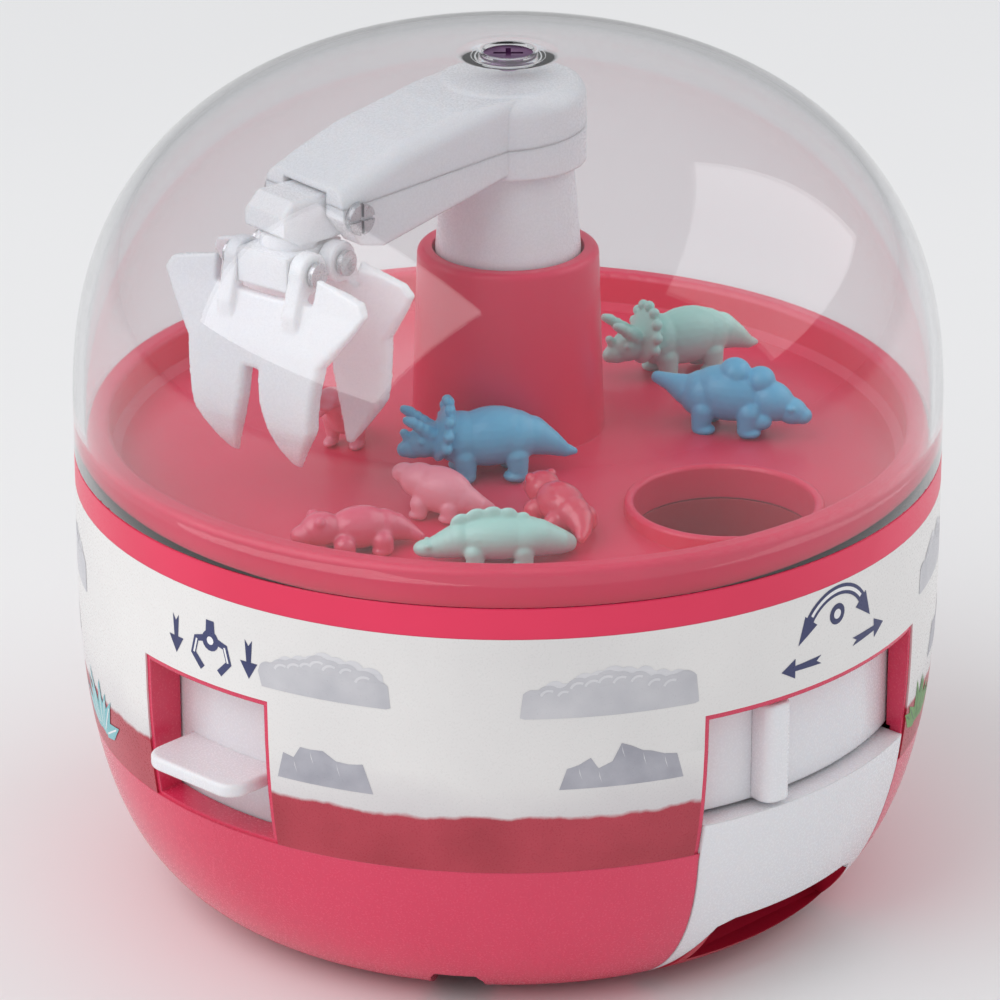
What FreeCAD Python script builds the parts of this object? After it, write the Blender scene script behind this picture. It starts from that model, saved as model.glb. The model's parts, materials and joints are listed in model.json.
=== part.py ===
import FreeCAD, Part
import math
import os
import Sketcher
from FreeCAD import Placement, Rotation, Vector

# Hand-held claw crane toy: a round bowl with two controls, a prize tray with a
# tower, a turning arm with a two-jaw claw, and a clear dome. Millimetres, +Z up,
# origin at the middle of the foot, front towards -Y. An azimuth is measured from
# the front, positive towards +X.

doc = FreeCAD.newDocument("claw_crane")
sheet = doc.addObject("Spreadsheet::Sheet", "sizes")

dimensions = {
    "bodyRadius": (60.0, "outside of bowl, band and dome"),
    "footRadius": (35.3, "flat foot ring"),
    "footOpening": (29.9, "opening for the bottom plate"),
    "bowlTop": (49.4, "height where the bowl's wall becomes upright"),
    "bowlPower": (2.6, "roundness of the bowl's side"),
    "shellWall": (2.0, "bowl wall"),
    "bandBottom": (59.5, "top of the bowl, where the tray's band starts"),
    "seamHeight": (63.8, "where the dome stands on the tray"),
    "rimHeight": (68.7, "top of the tray's rim"),
    "rimWall": (3.2, "tray rim thickness"),
    "trayWall": (1.7, "tray floor thickness"),
    "floorCentre": (66.0, "tray floor beside the tower"),
    "floorEdge": (63.2, "tray floor beside the rim"),
    "domeStart": (69.3, "height where the dome starts to curve"),
    "domeTop": (120.0, "top of the dome"),
    "domePower": (2.42, "roundness of the dome"),
    "domeWall": (1.5, "dome wall"),
    "gap": (0.3, "clearance between moving pieces"),
    "runFit": (0.1, "radial clearance of running fits"),
    "labelBottom": (25.2, "lower edge of the printed wrap"),
    "labelSkin": (0.3, "thickness of the printed wrap"),
    "labelMargin": (0.8, "bare border round each window"),
    "leverAzimuth": (-43.1, "direction of the grab window"),
    "leverHalf": (10.8, "half width of the grab window"),
    "leverSill": (25.7, "lower edge of the grab window"),
    "leverHead": (45.8, "upper edge of the grab window"),
    "leverTravel": (6.0, "grab stroke, and how far the arm drops"),
    "plateWall": (1.7, "lever and slider plate thickness"),
    "paddleHeight": (32.2, "underside of the grab paddle"),
    "paddleProud": (2.8, "how far the grab paddle stands out of the bowl"),
    "paddleHalf": (8.6, "half width of the grab paddle"),
    "paddleThick": (2.0, "grab paddle thickness"),
    "sliderAzimuth": (46.0, "direction of the slider window"),
    "sliderHalf": (20.2, "half width of the slider window"),
    "sliderHead": (45.2, "upper edge of the slider window"),
    "shelfHeight": (29.5, "shelf under the slider"),
    "knobAzimuth": (37.5, "slider knob at rest"),
    "knobHalf": (2.3, "half width of the slider knob"),
    "knobSink": (0.5, "slider knob's face behind the bowl's face"),
    "ringPlay": (0.6, "clearance of the slider ring in the bowl"),
    "ringWall": (3.0, "slider ring's width"),
    "ringBottom": (49.0, "underside of slider ring and gears"),
    "gearHeight": (3.5, "height of slider ring and gears"),
    "toothSize": (1.0, "gear module"),
    "backlash": (0.16, "tooth backlash"),
    "ringTeeth": (96.0, "full count of the slider ring's rack"),
    "idlerTeeth": (18.0, "teeth of each idler"),
    "turretTeeth": (24.0, "teeth of the turret gear"),
    "deckHeight": (44.5, "underside of the gear deck"),
    "deckWall": (2.0, "gear deck thickness"),
    "deckPlay": (1.0, "clearance of the gear deck in the slider ring"),
    "towerTop": (92.0, "top of the tower"),
    "towerWall": (2.0, "tower wall at its top"),
    "towerFlare": (0.9, "how much wider the tower is at its foot"),
    "columnPlay": (0.45, "clearance of the column in the tower"),
    "columnRadius": (9.95, "column below the taper"),
    "columnNeck": (8.6, "column radius under the arm"),
    "columnWall": (1.6, "column wall"),
    "columnFoot": (64.0, "lower end of the column"),
    "columnTop": (106.6, "upper end of the column"),
    "stemRadius": (5.9, "lift stem"),
    "stemFoot": (29.0, "lower end of the lift stem"),
    "keyHalf": (1.0, "half width of the turret key"),
    "hubWall": (2.1, "wall of the turret gear's hub"),
    "collarWall": (1.3, "wall of the lift collar"),
    "collarHeight": (34.4, "underside of the lift collar"),
    "forkThick": (2.5, "thickness of the lever's fork"),
    "rodRadius": (3.2, "guide rod"),
    "rodTop": (62.0, "upper end of the guide rod"),
    "armAzimuth": (-49.0, "arm at rest"),
    "armReach": (38.0, "claw axis from the tower's axis"),
    "armHalf": (8.0, "half width of the arm"),
    "armWall": (1.2, "arm wall"),
    "headRadius": (10.6, "arm head over the column"),
    "headFoot": (104.6, "underside of the arm head"),
    "headTop": (115.5, "top of the arm head"),
    "wristReach": (33.0, "wrist screw from the tower's axis"),
    "wristHeight": (105.5, "wrist screw height"),
    "clawYaw": (12.0, "claw turned against the arm"),
    "jawPivot": (3.0, "jaw pins from the claw axis"),
    "jawHeight": (99.0, "jaw pins' height"),
    "jawWall": (1.5, "jaw plate thickness"),
    "jawTip": (72.6, "finger tips' height"),
    "fingerSpread": (5.0, "finger tips from the claw's middle plane"),
    "lobeSpan": (16.6, "half span of a jaw's shoulders"),
    "chuteAzimuth": (45.3, "direction of the prize chute"),
    "chuteReach": (40.4, "chute axis from the tower's axis"),
    "chuteBore": (12.0, "inside radius of the chute"),
    "chuteWall": (1.3, "chute wall"),
    "collarTop": (66.2, "top of the chute collar"),
    "outletTop": (11.8, "upper edge of the outlet"),
    "lipHeight": (4.4, "lower lip of the outlet"),
    "screwRadius": (1.3, "small screws"),
    "screwHead": (2.4, "small screw heads"),
    "apexScrewHead": (3.4, "dome screw head"),
    "postReach": (32.0, "screw posts from the tower's axis"),
    "postRadius": (3.6, "screw posts"),
    "postJoint": (58.0, "height where the deck's posts meet the tray's"),
    "legReach": (25.0, "deck legs from the tower's axis"),
    "wireRadius": (0.5, "return spring wire"),
    "springRadius": (4.6, "return spring, middle of the wire"),
    "springTurns": (7.0, "return spring turns"),
}
for row, (name, (number, note)) in enumerate(dimensions.items(), start=1):
    sheet.set("A%d" % row, note)
    sheet.set("B%d" % row, str(number))
    sheet.setAlias("B%d" % row, name)
doc.recompute()


class Length:
    # a number together with the sheet expression that gives it
    def __init__(self, number, text):
        self.number = number
        self.text = text

    def __float__(self):
        return self.number

    def __add__(self, other):
        other = asLength(other)
        return Length(self.number + other.number, "(%s + %s)" % (self.text, other.text))

    def __sub__(self, other):
        other = asLength(other)
        return Length(self.number - other.number, "(%s - %s)" % (self.text, other.text))

    def __mul__(self, other):
        other = asLength(other)
        return Length(self.number * other.number, "(%s * %s)" % (self.text, other.text))

    def __truediv__(self, other):
        other = asLength(other)
        return Length(self.number / other.number, "(%s / %s)" % (self.text, other.text))


def asLength(value):
    return value if isinstance(value, Length) else Length(float(value), "%.6g" % value)


class Sizes:
    # the sheet's cells by alias
    def __getattr__(self, alias):
        return Length(float(sheet.get(alias)), "sizes." + alias)


d = Sizes()
subParts = []

ringOuter = d.bodyRadius - d.shellWall - d.ringPlay
ringInner = ringOuter - d.ringWall
leverInner = ringInner - d.gap - d.plateWall
leverOuter = leverInner + d.plateWall
paddleReach = d.bodyRadius + d.paddleProud
knobReach = d.bodyRadius - d.knobSink
deckRadius = ringInner - d.deckPlay
towerBore = d.columnRadius + d.columnPlay
towerTopRadius = towerBore + d.towerWall
towerFootRadius = towerTopRadius + d.towerFlare
towerBase = d.floorCentre - 4.6
floorRadius = d.bodyRadius - 6.4
hubRadius = d.stemRadius + d.hubWall
hubFoot = d.deckHeight - 1.5
clipInner = hubRadius - 0.7
collarGroove = d.stemRadius + d.collarWall


def keep(label, item):
    # names a finished sub-part
    item.Label = label
    subParts.append(item)
    return item


def feature(label, shape, place=Placement()):
    item = doc.addObject("Part::Feature", label)
    item.Shape = shape
    item.Placement = place
    return keep(label, item)


def shapeOf(label):
    for item in subParts:
        if item.Label == label:
            return item.Shape


def bound(kind, name, x=0, y=0, z=0, turn=None, **values):
    item = doc.addObject(kind, name)
    if turn:
        item.Placement = Placement(Vector(), turn)
    for field, value in values.items():
        item.setExpression(field, asLength(value).text)
    for axis, value in (("x", x), ("y", y), ("z", z)):
        item.setExpression("Placement.Base." + axis, asLength(value).text)
    return item


def cylinder(name, radius, low, high, x=0, y=0):
    height = asLength(high) - low
    return bound("Part::Cylinder", name, x, y, low, Radius=radius, Height=height)


def joined(name, *pieces):
    item = doc.addObject("Part::MultiFuse", name)
    item.Shapes = list(pieces)
    item.Refine = True
    return item


def carved(name, base, *tools):
    item = doc.addObject("Part::Cut", name)
    item.Base = base
    item.Tool = tools[0] if len(tools) == 1 else joined(name + "Tools", *tools)
    item.Refine = True
    return item


def originPlane(body, role):
    for plane in body.Origin.OriginFeatures:
        if plane.Role == role:
            return plane


def polygonSketch(body, name, plane, corners):
    # closed outline whose corners are all dimensioned from the sheet
    sketch = body.newObject("Sketcher::SketchObject", name)
    sketch.AttachmentSupport = [(originPlane(body, plane), "")]
    sketch.MapMode = "FlatFace"
    count = len(corners)
    points = [Vector(float(a), float(b), 0) for a, b in corners]
    for index in range(count):
        start, end = points[index], points[(index + 1) % count]
        sketch.addGeometry(Part.LineSegment(start, end), False)
    for index in range(count):
        following = (index + 1) % count
        sketch.addConstraint(Sketcher.Constraint("Coincident", index, 2, following, 1))
    for index, (across, up) in enumerate(corners):
        for kind, value in (("DistanceX", across), ("DistanceY", up)):
            value = asLength(value)
            place = sketch.addConstraint(Sketcher.Constraint(kind, -1, 1, index, 1, value.number))
            sketch.setExpression("Constraints[%d]" % place, value.text)
    return sketch


def turned(label, corners):
    # body of revolution about the tower's axis: corners are (radius, height)
    body = doc.addObject("PartDesign::Body", label)
    sketch = polygonSketch(body, label + "Profile", "XZ_Plane", corners)
    spin = body.newObject("PartDesign::Revolution", label + "Turned")
    spin.Profile = sketch
    spin.ReferenceAxis = (sketch, ["V_Axis"])
    spin.Angle = 360.0
    body.Tip = spin
    return body


def cyl(radius, low, high, x=0.0, y=0.0):
    low, high = float(low), float(high)
    return Part.makeCylinder(float(radius), high - low, Vector(float(x), float(y), low))


def ring(inner, outer, low, high):
    return cyl(outer, low, high).cut(cyl(inner, float(low) - 1, float(high) + 1))


def prism(corners, axis, low, high):
    # polygon drawn across the named axis and pulled along it
    order = {"x": lambda a, b: Vector(low, a, b), "y": lambda a, b: Vector(a, low, b),
             "z": lambda a, b: Vector(a, b, low)}[axis]
    pull = {"x": Vector(1, 0, 0), "y": Vector(0, 1, 0), "z": Vector(0, 0, 1)}[axis]
    points = [order(float(a), float(b)) for a, b in corners]
    face = Part.Face(Part.makePolygon(points + points[:1]))
    return face.extrude(pull * (high - low))


def box(x0, x1, y0, y1, z0, z1):
    x0, x1, y0, y1, z0, z1 = (float(v) for v in (x0, x1, y0, y1, z0, z1))
    return Part.makeBox(x1 - x0, y1 - y0, z1 - z0, Vector(x0, y0, z0))


def facing(azimuth):
    # local +X points outwards along the azimuth, local +Y to its right-hand side
    return Placement(Vector(), Rotation(Vector(0, 0, 1), float(azimuth) - 90.0))


def placed(shape, place):
    copy = shape.copy()
    copy.Placement = place.multiply(copy.Placement)
    return copy


def atAzimuth(azimuth, radius):
    angle = math.radians(float(azimuth))
    return float(radius) * math.sin(angle), -float(radius) * math.cos(angle)


def rounded(shape, radius, chosen):
    edges = [edge for edge in shape.Edges if chosen(edge)]
    return shape.makeFillet(float(radius), edges)


def roundEdge(height, radius=None):
    # picks full circles at a height, and of a radius when one is given
    def chosen(edge):
        curve = edge.Curve
        if not isinstance(curve, Part.Circle) or abs(curve.Center.z - float(height)) > 0.01:
            return False
        return radius is None or abs(curve.Radius - float(radius)) < 0.01
    return chosen


def superArc(centreR, centreZ, spanR, spanZ, power, steps=14):
    # quarter of a superellipse, from its widest point to its far end
    points = []
    for index in range(steps + 1):
        angle = math.radians(90.0 * index / steps)
        across = max(math.cos(angle), 0.0) ** (2.0 / power)
        along = math.sin(angle) ** (2.0 / power)
        points.append(Vector(centreR + spanR * across, 0, centreZ + spanZ * along))
    curve = Part.BSplineCurve()
    curve.interpolate(points)
    return curve.toShape()


def lathe(edges, *corners):
    # closes a curve with straight runs through the corners and spins it
    wire = list(edges)
    points = [Vector(float(a), 0, float(b)) for a, b in corners]
    wire += [Part.makeLine(p, q) for p, q in zip(points, points[1:])]
    face = Part.Face(Part.Wire(Part.__sortEdges__(wire)))
    return face.revolve(Vector(), Vector(0, 0, 1), 360)


def bowlSolid(inset, top):
    # filled bowl, pulled in evenly by the inset
    inset, top = float(inset), float(top)
    wide = float(d.bodyRadius) - inset
    foot = float(d.footRadius) - inset
    rise = float(d.bowlTop)
    side = superArc(foot, rise, wide - foot, inset - rise, float(d.bowlPower))
    return lathe([side], (foot, inset), (0, inset), (0, top), (wide, top), (wide, rise))


def domeSolid(inset):
    inset = float(inset)
    wide = float(d.bodyRadius) - inset
    start = float(d.domeStart)
    rise = float(d.domeTop) - start - inset
    foot = float(d.seamHeight) - (1.0 if inset else 0.0)
    side = superArc(0.0, start, wide, rise, float(d.domePower))
    return lathe([side], (0, start + rise), (0, foot), (wide, foot), (wide, start))


def slab(low, high):
    reach = 2 * float(d.bodyRadius)
    return box(-reach, reach, -reach, reach, low, high)


def through(azimuth, corners, inner=20.0):
    # prism pointing out of the bowl at an azimuth; corners are (sideways, height)
    return placed(prism(corners, "x", inner, float(d.bodyRadius) + 12), facing(azimuth))


def rectangle(halfWidth, low, high):
    halfWidth, low, high = float(halfWidth), float(low), float(high)
    return [(-halfWidth, low), (halfWidth, low), (halfWidth, high), (-halfWidth, high)]


def sliderOpening(margin):
    # window and outlet seen from outside, narrowing towards the foot
    half, head = float(d.sliderHalf) + margin, float(d.sliderHead) + margin
    foot = 1.2
    return [(-half, head), (-half, 24.0), (-half + 2.8, foot),
            (half - 2.8, foot), (half, 24.0), (half, head)]


def floorHeight(radius):
    inner, outer = float(towerFootRadius), float(floorRadius)
    share = (radius - inner) / (outer - inner)
    return float(d.floorCentre) + share * (float(d.floorEdge) - float(d.floorCentre))


chuteX, chuteY = atAzimuth(d.chuteAzimuth, d.chuteReach)
chuteOuter = d.chuteBore + d.chuteWall
armFrame = facing(d.armAzimuth)
clawX, clawY = atAzimuth(d.armAzimuth, d.armReach)
clawFrame = Placement(Vector(clawX, clawY, 0), facing(d.armAzimuth + d.clawYaw).Rotation)
postAzimuths = (0.0, 110.0, -110.0)
legAzimuths = (80.0, 180.0, -80.0)


# ---- casing ----

def baseShell():
    # the cavity leaves a deep frame standing behind each window
    frame = rectangle(d.leverHalf + 1.2, d.leverSill - 1.2, d.leverHead + 1.2)
    behindLever = through(d.leverAzimuth, frame).cut(cyl(leverOuter + d.gap, 0, 60))
    behindSlider = through(d.sliderAzimuth, sliderOpening(1.2))
    behindSlider = behindSlider.common(slab(d.shelfHeight + 0.5, d.sliderHead + 1.2))
    behindSlider = behindSlider.cut(cyl(ringInner + d.plateWall + d.gap, 0, 60))
    cavity = bowlSolid(d.shellWall, d.bandBottom + 1).cut(behindLever).cut(behindSlider)
    shell = bowlSolid(0, d.bandBottom).cut(cavity)
    skin = bowlSolid(0, d.bandBottom + 1).cut(bowlSolid(d.labelSkin, d.bandBottom + 2))
    shell = shell.cut(skin.common(slab(d.labelBottom, d.bandBottom + 3)))
    shell = shell.cut(through(d.leverAzimuth, rectangle(d.leverHalf, d.leverSill, d.leverHead)))
    shell = shell.cut(through(d.sliderAzimuth, sliderOpening(0)))
    shell = shell.cut(cyl(d.footOpening, -1, 5))
    arch = [(-3.8, -1.0), (3.8, -1.0), (3.6, 4.0), (2.4, 6.2), (0.0, 7.1), (-2.4, 6.2), (-3.6, 4.0)]
    shell = shell.cut(placed(prism(arch, "x", 20, 50), facing(-8.3)))
    feature("base_shell", shell)


def labelWrap():
    wrap = bowlSolid(0, d.bandBottom).cut(bowlSolid(d.labelSkin, d.bandBottom + 1))
    wrap = wrap.common(slab(d.labelBottom, d.bandBottom))
    margin = float(d.labelMargin)
    window = rectangle(d.leverHalf + margin, d.leverSill - 9, d.leverHead + margin)
    wrap = wrap.cut(through(d.leverAzimuth, window))
    wrap = wrap.cut(through(d.sliderAzimuth, sliderOpening(margin)))
    feature("label_wrap", wrap)


def outletPanel():
    half, shelf, mouthTop = float(d.sliderHalf), float(d.shelfHeight), float(d.outletTop)
    outline = [(-half + 0.15, shelf), (-half + 0.15, 24.0), (-half + 2.9, 2.4),
               (half - 2.9, 2.4), (half - 0.15, 24.0), (half - 0.15, shelf)]
    mouth = [(-half + 2.6, 2.0), (-half + 6.7, mouthTop - 0.8), (-half + 9.2, mouthTop),
             (half - 9.2, mouthTop), (half - 6.7, mouthTop - 0.8), (half - 2.6, 2.0)]
    skin = bowlSolid(0, d.bandBottom).cut(bowlSolid(d.shellWall + 0.2, d.bandBottom + 1))
    panel = skin.common(through(d.sliderAzimuth, outline))
    shelfBack = ringInner + d.gap
    shelf = bowlSolid(0.6, 50).cut(cyl(shelfBack, 0, 60)).common(slab(d.shelfHeight - 1.8, d.shelfHeight))
    shelf = shelf.common(through(d.sliderAzimuth, outline))
    panel = panel.fuse(shelf).cut(through(d.sliderAzimuth, mouth))
    feature("outlet_panel", panel.removeSplitter())


def prizeRamp():
    half, lip, reach = 15.2, float(d.lipHeight), float(d.bodyRadius) + 2
    back = float(d.chuteReach) - 15.4
    slope = [(back, 12.5), (back, 10.5), (reach - 22, 1.6), (reach, 1.6), (reach, lip), (reach - 16, lip)]
    outward = prism(slope, "y", -half, half)
    side = [(back, 10.6), (reach - 16, 2.0), (reach - 10, 2.0), (reach - 10, 10.4), (reach - 16, 14.4),
            (back, 14.4)]
    walls = prism(side, "y", -half, -14.0)
    mirrored = walls.mirror(Vector(), Vector(0, 1, 0))
    ramp = outward.fuse([walls, mirrored])
    ramp = placed(ramp, facing(d.sliderAzimuth)).common(bowlSolid(0, 50))
    sill = placed(box(reach - 12, reach, -half - 2, half + 2, 1.4, lip), facing(d.sliderAzimuth))
    sill = bowlSolid(0, 50).cut(bowlSolid(d.shellWall + 0.4, 50)).common(sill)
    keepOut = cyl(d.chuteBore + 0.1, 11, 30, chuteX, chuteY)
    ramp = ramp.fuse(sill).cut(keepOut).cut(shapeOf("outlet_panel"))
    feature("prize_ramp", ramp.removeSplitter())


def chuteTube():
    top = d.floorEdge - d.trayWall - 0.2
    tube = cyl(chuteOuter, 14.6, top, chuteX, chuteY).cut(cyl(d.chuteBore, 10, 70, chuteX, chuteY))
    tube = tube.common(bowlSolid(d.shellWall + 0.3, d.bandBottom + 4))
    feature("chute_tube", tube)


def bottomPlate():
    plate = cylinder("plateDisc", d.footOpening - 0.2, 0.4, 2.4)
    seat = cylinder("seatCup", 7.2, 2.4, 6.0)
    bore = cylinder("rodSocket", d.rodRadius, 1.4, 7.0)
    holes = []
    for index, azimuth in enumerate(legAzimuths):
        x, y = atAzimuth(azimuth, d.legReach)
        holes.append(cylinder("plateHole%d" % index, d.screwRadius + 0.2, 0, 3, x, y))
        holes.append(cylinder("plateSink%d" % index, d.screwHead + 0.3, 0, 1.2, x, y))
    keep("bottom_plate", carved("bottomPlateCut", joined("bottomPlateSolid", plate, seat), bore, *holes))


def tray():
    outer = d.bodyRadius
    rimIn = outer - d.domeWall - d.gap - d.rimWall
    rimOut = outer - d.domeWall - d.gap
    skirt = outer - d.shellWall - 0.1
    body = turned("trayBody", [
        (towerBore, towerBase), (towerBore, d.towerTop), (towerTopRadius, d.towerTop),
        (towerFootRadius, d.floorCentre), (floorRadius, d.floorEdge), (rimIn, d.floorEdge + 0.9),
        (rimIn, d.rimHeight), (rimOut, d.rimHeight), (rimOut, d.seamHeight), (outer, d.seamHeight),
        (outer, d.bandBottom), (skirt, d.bandBottom), (skirt, d.bandBottom - 2),
        (skirt - 1.4, d.bandBottom - 2), (skirt - 1.4, d.floorEdge - d.trayWall),
        (towerFootRadius, d.floorCentre - d.trayWall), (towerTopRadius, towerBase)])
    doc.recompute()
    solid = body.Shape
    solid = rounded(solid, 0.9, roundEdge(d.rimHeight))
    solid = rounded(solid, 0.9, roundEdge(d.towerTop, towerTopRadius))
    solid = solid.fuse(cyl(chuteOuter, d.floorEdge - d.trayWall, d.collarTop, chuteX, chuteY))
    for azimuth in postAzimuths:
        x, y = atAzimuth(azimuth, d.postReach)
        solid = solid.fuse(cyl(d.postRadius, d.postJoint, floorHeight(float(d.postReach)) - 0.8, x, y))
        solid = solid.cut(cyl(d.screwRadius, d.postJoint - 1, d.postJoint + 4.4, x, y))
    solid = solid.cut(cyl(d.chuteBore, 50, 80, chuteX, chuteY))
    solid = rounded(solid, 0.55, roundEdge(d.collarTop))
    feature("prize_tray", solid)


def dome():
    shell = domeSolid(0).cut(domeSolid(d.domeWall))
    boss = cyl(d.apexScrewHead + 0.8, d.domeTop - 3.2, d.domeTop - 0.7)
    boss = boss.cut(cyl(d.screwRadius, d.domeTop - 20, d.domeTop + 10))
    shell = shell.fuse(boss).cut(cyl(d.apexScrewHead + 0.15, d.domeTop - 1.6, d.domeTop + 1))
    feature("dome", shell)


def apexScrew():
    head = cyl(d.apexScrewHead, d.domeTop - 1.6, d.domeTop - 0.5)
    shank = cyl(d.screwRadius, d.domeTop - 3.4, d.domeTop - 1.6)
    cross = box(-2.0, 2.0, -0.35, 0.35, d.domeTop - 1.1, d.domeTop).fuse(
        box(-0.35, 0.35, -2.0, 2.0, d.domeTop - 1.1, d.domeTop))
    feature("apex_screw", head.fuse(shank).cut(cross))


# ---- gear deck ----

def gearDeck():
    low, high = d.deckHeight, d.deckHeight + d.deckWall
    deck = cyl(deckRadius, low, high)
    idlerPitch = idlerPlaces()
    for reach in idlerPitch:
        deck = deck.fuse(cyl(2.2, low, d.ringBottom + d.gearHeight + 0.3, 0, reach))
        deck = deck.fuse(cyl(4.0, low, d.ringBottom - 0.3, 0, reach))
    for azimuth in postAzimuths:
        x, y = atAzimuth(azimuth, d.postReach)
        deck = deck.fuse(cyl(d.postRadius, high, d.postJoint, x, y))
        deck = deck.cut(cyl(d.screwRadius + 0.15, 40, 60, x, y))
    for azimuth in legAzimuths:
        x, y = atAzimuth(azimuth, d.legReach)
        deck = deck.fuse(cyl(d.postRadius, 2.4, low, x, y)).cut(cyl(d.screwRadius, 0, 12, x, y))
    for reach in idlerPitch:
        deck = deck.cut(cyl(1.0, 47, 60, 0, reach))
    deck = deck.cut(cyl(hubRadius + d.runFit, 40, 50))
    deck = deck.cut(cyl(chuteOuter + d.gap, 40, 50, chuteX, chuteY))
    half = float(d.leverHalf) + 1.8
    slot = box(leverInner - 1.8, d.bodyRadius, -half, half, 40, 50)
    deck = deck.cut(placed(slot, facing(d.leverAzimuth)))
    feature("gear_deck", deck.removeSplitter())


def idlerPlaces():
    size = d.toothSize
    inner = float(size * (d.turretTeeth + d.idlerTeeth) / 2)
    outer = float(size * (d.ringTeeth - d.idlerTeeth) / 2)
    return inner, outer


def involuteOutline(teeth, thin, tip, root, first):
    # closed outline of a spur gear; thin narrows each tooth at the pitch circle
    pitch = float(d.toothSize) * teeth / 2.0
    base = pitch * math.cos(math.radians(20.0))
    spread = math.tan(math.radians(20.0)) - math.radians(20.0)
    half = math.pi / (2.0 * teeth) - thin / (2.0 * pitch)
    points = []
    for tooth in range(int(teeth)):
        middle = math.radians(first) + 2.0 * math.pi * tooth / teeth
        flank = []
        for step in range(5):
            radius = max(root, base) + (tip - max(root, base)) * step / 4.0
            turn = math.acos(min(1.0, base / radius))
            flank.append((radius, half + spread - (math.tan(turn) - turn)))
        if root < base:
            flank.insert(0, (root, flank[0][1]))
        for radius, angle in flank:
            points.append((radius * math.cos(middle - angle), radius * math.sin(middle - angle)))
        for radius, angle in reversed(flank):
            points.append((radius * math.cos(middle + angle), radius * math.sin(middle + angle)))
    return points


def spurGear(teeth, first):
    pitch = float(d.toothSize) * teeth / 2.0
    outline = involuteOutline(teeth, float(d.backlash), pitch + 0.9, pitch - 1.2, first)
    low = float(d.ringBottom)
    return prism(outline, "z", low, low + float(d.gearHeight))


def turretGear():
    gear = spurGear(float(d.turretTeeth), 90.0)
    shoulder = d.deckHeight + d.deckWall + d.gap
    hub = cyl(hubRadius, hubFoot, d.ringBottom).fuse(cyl(hubRadius + 1.6, shoulder, d.ringBottom))
    gear = gear.fuse(hub).cut(cyl(d.stemRadius + d.runFit, 40, 60))
    key = box(d.stemRadius - 0.95, d.stemRadius + 0.4, -float(d.keyHalf), float(d.keyHalf),
              hubFoot, d.ringBottom + d.gearHeight)
    gear = gear.fuse(key).cut(ring(clipInner, hubRadius + 4, hubFoot + 0.4, hubFoot + 1.2))
    feature("turret_gear", gear)


def turretClip():
    clip = ring(clipInner, hubRadius + 1.6, hubFoot + 0.45, hubFoot + 1.15)
    clip = clip.cut(box(0, hubRadius + 4, -3, 3, hubFoot, hubFoot + 2))
    feature("turret_clip", clip)


def idlers():
    inner, outer = idlerPlaces()
    for name, reach, first in (("inner_idler", inner, 0.0), ("outer_idler", outer, 10.0)):
        gear = spurGear(float(d.idlerTeeth), first)
        gear = gear.cut(cyl(2.2 + float(d.runFit) / 2, 40, 60))
        feature(name, gear, Placement(Vector(0, reach, 0), Rotation()))


def idlerScrews():
    top = float(d.ringBottom) + float(d.gearHeight) + 0.3
    solids = []
    for reach in idlerPlaces():
        washer = cyl(3.4, top, top + 0.6, 0, reach)
        shank = cyl(1.0, 48, top, 0, reach)
        head = cyl(2.0, top + 0.6, top + 1.8, 0, reach)
        solids.append(washer.fuse([shank, head]))
    feature("idler_screws", Part.makeCompound(solids))


def wedge(first, step, count, low, high):
    # pie slice from the tower's axis out past the bowl
    reach = float(d.bodyRadius) + 10
    corners = [atAzimuth(first + step * index, reach) for index in range(count)]
    return prism(corners + [(0, 0)], "z", low, high)


def sliderRing():
    low, high = float(d.ringBottom), float(d.ringBottom + d.gearHeight)
    pitch = float(d.toothSize * d.ringTeeth) / 2.0
    band = ring(ringInner, ringOuter, low, high)
    flange = ring(pitch - 0.8, ringInner + 0.5, low, high)
    flange = flange.common(wedge(138, 7, 13, low, high))
    rack = involuteOutline(float(d.ringTeeth), -float(d.backlash), pitch + 1.2, pitch - 1.5, 90.0)
    flange = flange.cut(prism(rack, "z", low - 1, high + 1))
    plate = ring(ringInner, ringInner + d.plateWall, d.shelfHeight + 0.7, low + 0.5)
    plate = plate.common(wedge(float(d.knobAzimuth) - 36, 8.2, 10, 20, 60))
    feature("slider_ring", band.fuse([flange, plate]).removeSplitter())


def sliderKnob():
    low, high = float(d.shelfHeight) + 0.9, float(d.sliderHead) - 0.6
    half, reach = float(d.knobHalf), float(knobReach)
    bar = box(ringInner - 1.4, reach, -half, half, low, high)
    bar = rounded(bar, half * 0.8, lambda e: e.BoundBox.ZLength > 1 and e.BoundBox.XMin > reach - 0.1)
    bar = rounded(bar, 0.6, lambda e: e.BoundBox.ZMin > high - 0.01 and e.BoundBox.XMax > reach - 5)
    bar = placed(bar, facing(d.knobAzimuth)).cut(cyl(ringInner + d.plateWall, 20, 60))
    feature("slider_knob", bar)


# ---- grab lever and lift ----

def paddleShape():
    reach, half, foot = float(paddleReach), float(d.paddleHalf), d.paddleHeight
    paddle = box(leverInner + 0.6, reach, -half, half, foot, foot + d.paddleThick)
    paddle = rounded(paddle, 3.0, lambda e: abs(e.BoundBox.XMin - reach) < 0.01 and e.BoundBox.ZLength > 1)
    return rounded(paddle, 0.6, lambda e: e.BoundBox.ZLength < 0.01 and e.BoundBox.XMax > reach - 5)


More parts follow.
